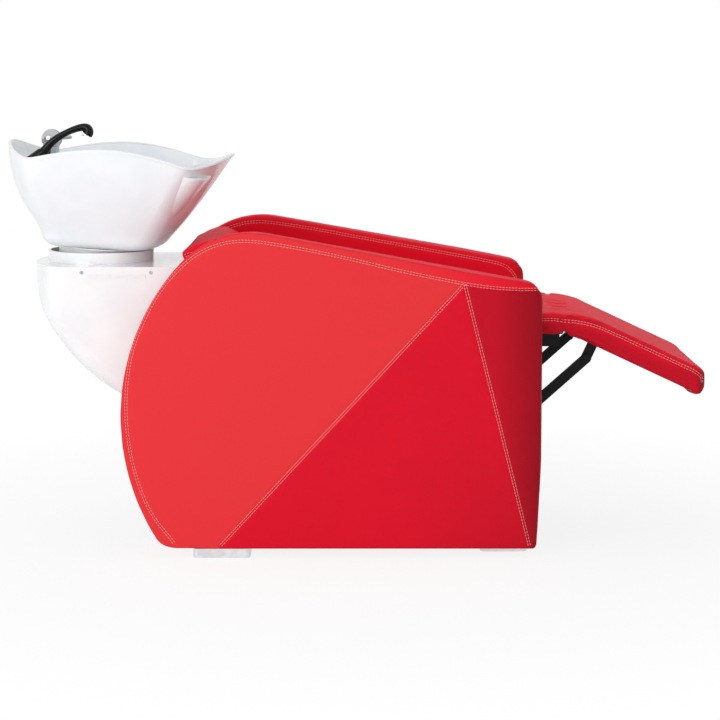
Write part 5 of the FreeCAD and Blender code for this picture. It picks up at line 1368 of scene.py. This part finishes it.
    def build(self, finishes: Finishes) -> None:
        """Makes the basin.

        Args:
            finishes: the bed's finishes.
        """
        outer = self.columns(0.0, 26)
        inner = self.columns(self.wall, 26)
        foot = outer[0]
        rings = [foot * (0.86, 0.86, 1) + (0, 0, 0.016), foot * (0.93, 0.93, 1) + (0, 0, 0.001), *outer[:-1]]
        middle = (outer[-1] + inner[-1]) / 2
        half = (outer[-1] - inner[-1]) / 2
        for turn in np.linspace(0, math.pi, 9):
            front = np.clip((middle[:, 0] - 0.05) / 0.16, 0, 1)
            rise = np.linalg.norm(half, axis=1) * math.sin(turn) * (1.1 + 0.35 * front)
            ring = middle + half * math.cos(turn) * (1 + (0.16 + 0.34 * front) * math.sin(turn))[:, None]
            corner = front * (np.abs(middle[:, 1]) / self.rim_half_width) ** 2
            ring[:, 2] += rise - 0.0045 - 0.0022 * front - 0.0055 * corner
            rings.append(ring)
        bowl = self.bowl_rings()
        for ring in inner[::-1]:
            if ring[:, 2].min() > self.deck + 0.02:
                rings.append(ring)
        wall_top = rings[-1]
        deck_ring = self.flat(self.ring(self.deck / self.depth, self.wall), self.deck)
        lip = wall_top * 0.35 + deck_ring * 0.65
        rings.append(lip)
        gap = np.linalg.norm(deck_ring - bowl[0], axis=1)
        ledge = np.clip((gap - 0.02) / 0.03, 0, 1)[:, None]
        near = deck_ring + (bowl[0] - deck_ring) * 0.06
        rings.append(near * ledge + (lip * 0.4 + bowl[0] * 0.6) * (1 - ledge))
        rings.append((deck_ring * 0.5 + bowl[0] * 0.5) * ledge + (lip * 0.2 + bowl[0] * 0.8) * (1 - ledge))
        edge = bowl[0] + (deck_ring - bowl[0]) * 0.09
        rings.append(edge * ledge + (bowl[0] * 0.95 + bowl[1] * 0.05) * (1 - ledge))
        rings.append(bowl[0] * 0.72 + bowl[1] * 0.28)
        rings.extend(bowl[1:])
        drain_centre = np.array(self.drain)
        base = bowl[-1]
        spokes = base[:, :2] - drain_centre
        radius = np.linalg.norm(spokes, axis=1, keepdims=True)
        hole = drain_centre + spokes / radius * self.drain_radius
        for share in (0.35, 0.7, 1.0):
            flat = base[:, :2] * (1 - share) + hole * share
            rings.append(self.flat(flat, self.floor - 0.0006 * share))
        rings.append(self.flat(hole, self.floor - self.drain_depth))
        lean = Matrix.Rotation(BASIN_LEAN, 3, "Y")
        turned = [ring @ np.array(lean).T + np.array(BASIN_FOOT) for ring in rings]
        item = rings_to_mesh("basin_glaze", turned, (True, False))
        modify(item, "SUBSURF", levels=1, render_levels=1)
        round_off(item)
        finish_piece(item, finishes.ceramic, Body.BASIN, ("basin",))


@dataclass
class HandShower:
    """The moulded hand shower, one smooth skin from its foot to the turned-down head."""

    y: float = -0.040
    path: tuple = (
        (-0.1632, 0.2024, 0.0094), (-0.1515, 0.2130, 0.0095), (-0.1490, 0.2160, 0.0128), (-0.1450, 0.2205, 0.0124),
        (-0.1390, 0.2295, 0.0106), (-0.1300, 0.2410, 0.0098), (-0.1164, 0.2535, 0.0092), (-0.1017, 0.2640, 0.0088),
        (-0.0841, 0.2741, 0.0087), (-0.0663, 0.2818, 0.0090), (-0.0530, 0.2850, 0.0096), (-0.0445, 0.2840, 0.0108),
        (-0.0400, 0.2790, 0.0120), (-0.0400, 0.2730, 0.0128), (-0.0425, 0.2680, 0.0126),
    )

    def build(self, finishes: Finishes) -> None:
        """Makes the hand shower.

        Args:
            finishes: the bed's finishes.
        """
        track = curve_through(self.path, 0.0022)
        rings = []
        lean = Matrix.Rotation(BASIN_LEAN, 3, "Y")
        turns = np.linspace(0, 2 * math.pi, 28, endpoint=False)
        for place, (x, z, radius) in enumerate(track):
            before = track[max(place - 1, 0)]
            after = track[min(place + 1, len(track) - 1)]
            along = np.array((after[0] - before[0], after[1] - before[1]))
            along /= np.linalg.norm(along)
            across = np.array((-along[1], along[0]))
            squeeze = 1.0 - 0.10 * math.exp(-(((x + 0.09) / 0.03) ** 2))
            ring = np.empty((len(turns), 3))
            low = np.maximum(0, -np.sin(turns))
            crease = 1 - 0.07 * np.exp(-(((np.cos(turns) + 0.72) / 0.16) ** 2)) * (low > 0)
            ring[:, 0] = x + across[0] * np.sin(turns) * radius * squeeze * crease
            ring[:, 2] = z + across[1] * np.sin(turns) * radius * squeeze * crease
            ring[:, 1] = self.y + np.cos(turns) * radius * crease
            rings.append(ring)
        first = rings[0]
        last = rings[-1]
        foot = first * 0.5 + first.mean(axis=0) * 0.5
        head = last * 0.93 + last.mean(axis=0) * 0.07 + (0, 0, -0.0008)
        rings = [foot, *rings, head]
        turned = [ring @ np.array(lean).T + np.array(BASIN_FOOT) for ring in rings]
        item = rings_to_mesh("shower_skin", turned)
        modify(item, "SUBSURF", levels=1, render_levels=1)
        smooth(item, 40)
        finish_piece(item, finishes.black_gloss, Body.SHOWER, ("shower_handle",))


# Stage


@dataclass
class Stage:
    """Floor, backdrop, lamps and camera."""

    eye: tuple = (0.013, -4.976, 1.144)
    pitch: float = 8.295
    lens: float = 101.85

    def build(self) -> None:
        """Makes the stage."""
        self.floor()
        self.world()
        self.lamp("key", (-3.2, -3.8, 2.1), (0.0, 0.0, 0.45), 2.8, 84.0)
        self.lamp("front", (-0.8, -5.6, 0.9), (-0.2, 0.0, 0.5), 2.4, 72.0, False)
        self.lamp("top", (0.0, 0.4, 3.8), (0.0, 0.0, 0.5), 3.0, 24.0, False)
        self.lamp("back", (-1.8, 3.6, 2.2), (0.0, 0.0, 0.5), 2.5, 7.0, False)
        self.card("left_card", (-4.6, -1.2, 1.2), 1.4)
        camera = bpy.data.objects.new("camera", bpy.data.cameras.new("camera"))
        camera.data.lens = self.lens
        camera.data.sensor_width = 36.0
        camera.data.clip_end = 60.0
        camera.location = self.eye
        camera.rotation_euler = (math.radians(90 - self.pitch), 0, 0)
        bpy.context.scene.collection.objects.link(camera)
        bpy.context.scene.camera = camera

    def floor(self) -> None:
        """A pale floor that the camera sees as white, with the bed's shadow kept faint."""
        bpy.ops.mesh.primitive_plane_add(size=30.0, location=(0, 0, 0))
        item = bpy.context.object
        item.name = "floor"
        board = Board("pale_floor")
        board.dress(Base_Color=(0.93, 0.93, 0.935), Roughness=0.9, Specular_IOR_Level=0.1)
        glow = board.node("ShaderNodeEmission", None, Color=(1, 1, 1, 1), Strength=1.0)
        rays = board.node("ShaderNodeLightPath")
        away = board.node("ShaderNodeVectorMath", {"operation": "LENGTH"})
        board.feed(away.inputs[0], board.place)
        fade = board.between(Term(board, away.outputs["Value"]), 0.8, 1.7, 0.86, 1.0)
        seen = Term(board, rays.outputs["Is Camera Ray"]) + Term(board, rays.outputs["Is Glossy Ray"])
        share = seen * fade
        mix = board.node("ShaderNodeMixShader")
        board.feed(mix.inputs[0], share)
        board.tree.links.new(board.shader.outputs[0], mix.inputs[1])
        board.tree.links.new(glow.outputs[0], mix.inputs[2])
        board.tree.links.new(mix.outputs[0], board.output.inputs["Surface"])
        item.data.materials.append(board.material)

    def card(self, name: str, place: tuple, size: float) -> None:
        """An upright dark card beside the bed, out of the picture, for the reflections."""
        bpy.ops.mesh.primitive_plane_add(size=size, location=place, rotation=(0, math.pi / 2, 0))
        item = bpy.context.object
        item.name = name
        board = Board(name)
        item.data.materials.append(board.dress(Base_Color=(0.02, 0.02, 0.02), Roughness=0.8))
        item.visible_camera = False

    def world(self) -> None:
        """A pale surrounding: white to the eye, softer as light and in reflections."""
        world = bpy.data.worlds.new("studio")
        bpy.context.scene.world = world
        world.use_nodes = True
        tree = world.node_tree
        tree.nodes.clear()
        output = tree.nodes.new("ShaderNodeOutputWorld")
        rays = tree.nodes.new("ShaderNodeLightPath")
        soft = tree.nodes.new("ShaderNodeBackground")
        soft.inputs["Strength"].default_value = 0.52
        white = tree.nodes.new("ShaderNodeBackground")
        white.inputs["Strength"].default_value = 1.0
        white.inputs["Color"].default_value = (1, 1, 1, 1)
        soft.inputs["Color"].default_value = (1, 1, 1, 1)
        mix = tree.nodes.new("ShaderNodeMixShader")
        seen = rays.outputs["Is Camera Ray"]
        for kind in ("Is Glossy Ray", "Is Transmission Ray"):
            either = tree.nodes.new("ShaderNodeMath")
            either.operation = "MAXIMUM"
            tree.links.new(seen, either.inputs[0])
            tree.links.new(rays.outputs[kind], either.inputs[1])
            seen = either.outputs[0]
        tree.links.new(seen, mix.inputs[0])
        tree.links.new(soft.outputs[0], mix.inputs[1])
        tree.links.new(white.outputs[0], mix.inputs[2])
        tree.links.new(mix.outputs[0], output.inputs["Surface"])

    def lamp(self, name: str, place: tuple, aim: tuple, size: float, power: float, mirrored: bool = True) -> None:
        """A square soft lamp aimed at a point, with or without its own reflection."""
        lamp = bpy.data.lights.new(name, "AREA")
        lamp.size = size
        lamp.energy = power
        item = bpy.data.objects.new(name, lamp)
        item.location = place
        item.rotation_euler = (Vector(aim) - Vector(place)).to_track_quat("-Z", "Y").to_euler()
        item.visible_glossy = mirrored
        bpy.context.scene.collection.objects.link(item)


def main() -> None:
    """Builds the bed's looks in order."""
    logging.basicConfig(level=logging.INFO, format="%(name)s: %(message)s")
    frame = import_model()
    nodes = frame["nodes"]
    bpy.context.scene.view_settings.view_transform = "Standard"
    finishes = Finishes()
    finishes.dress_frame(nodes, frame["record"])
    Stage().build()
    Armrests().build(nodes, finishes)
    Cushions().build(nodes, finishes)
    Basin().build(finishes)
    HandShower().build(finishes)


if __name__ == "__main__":
    main()
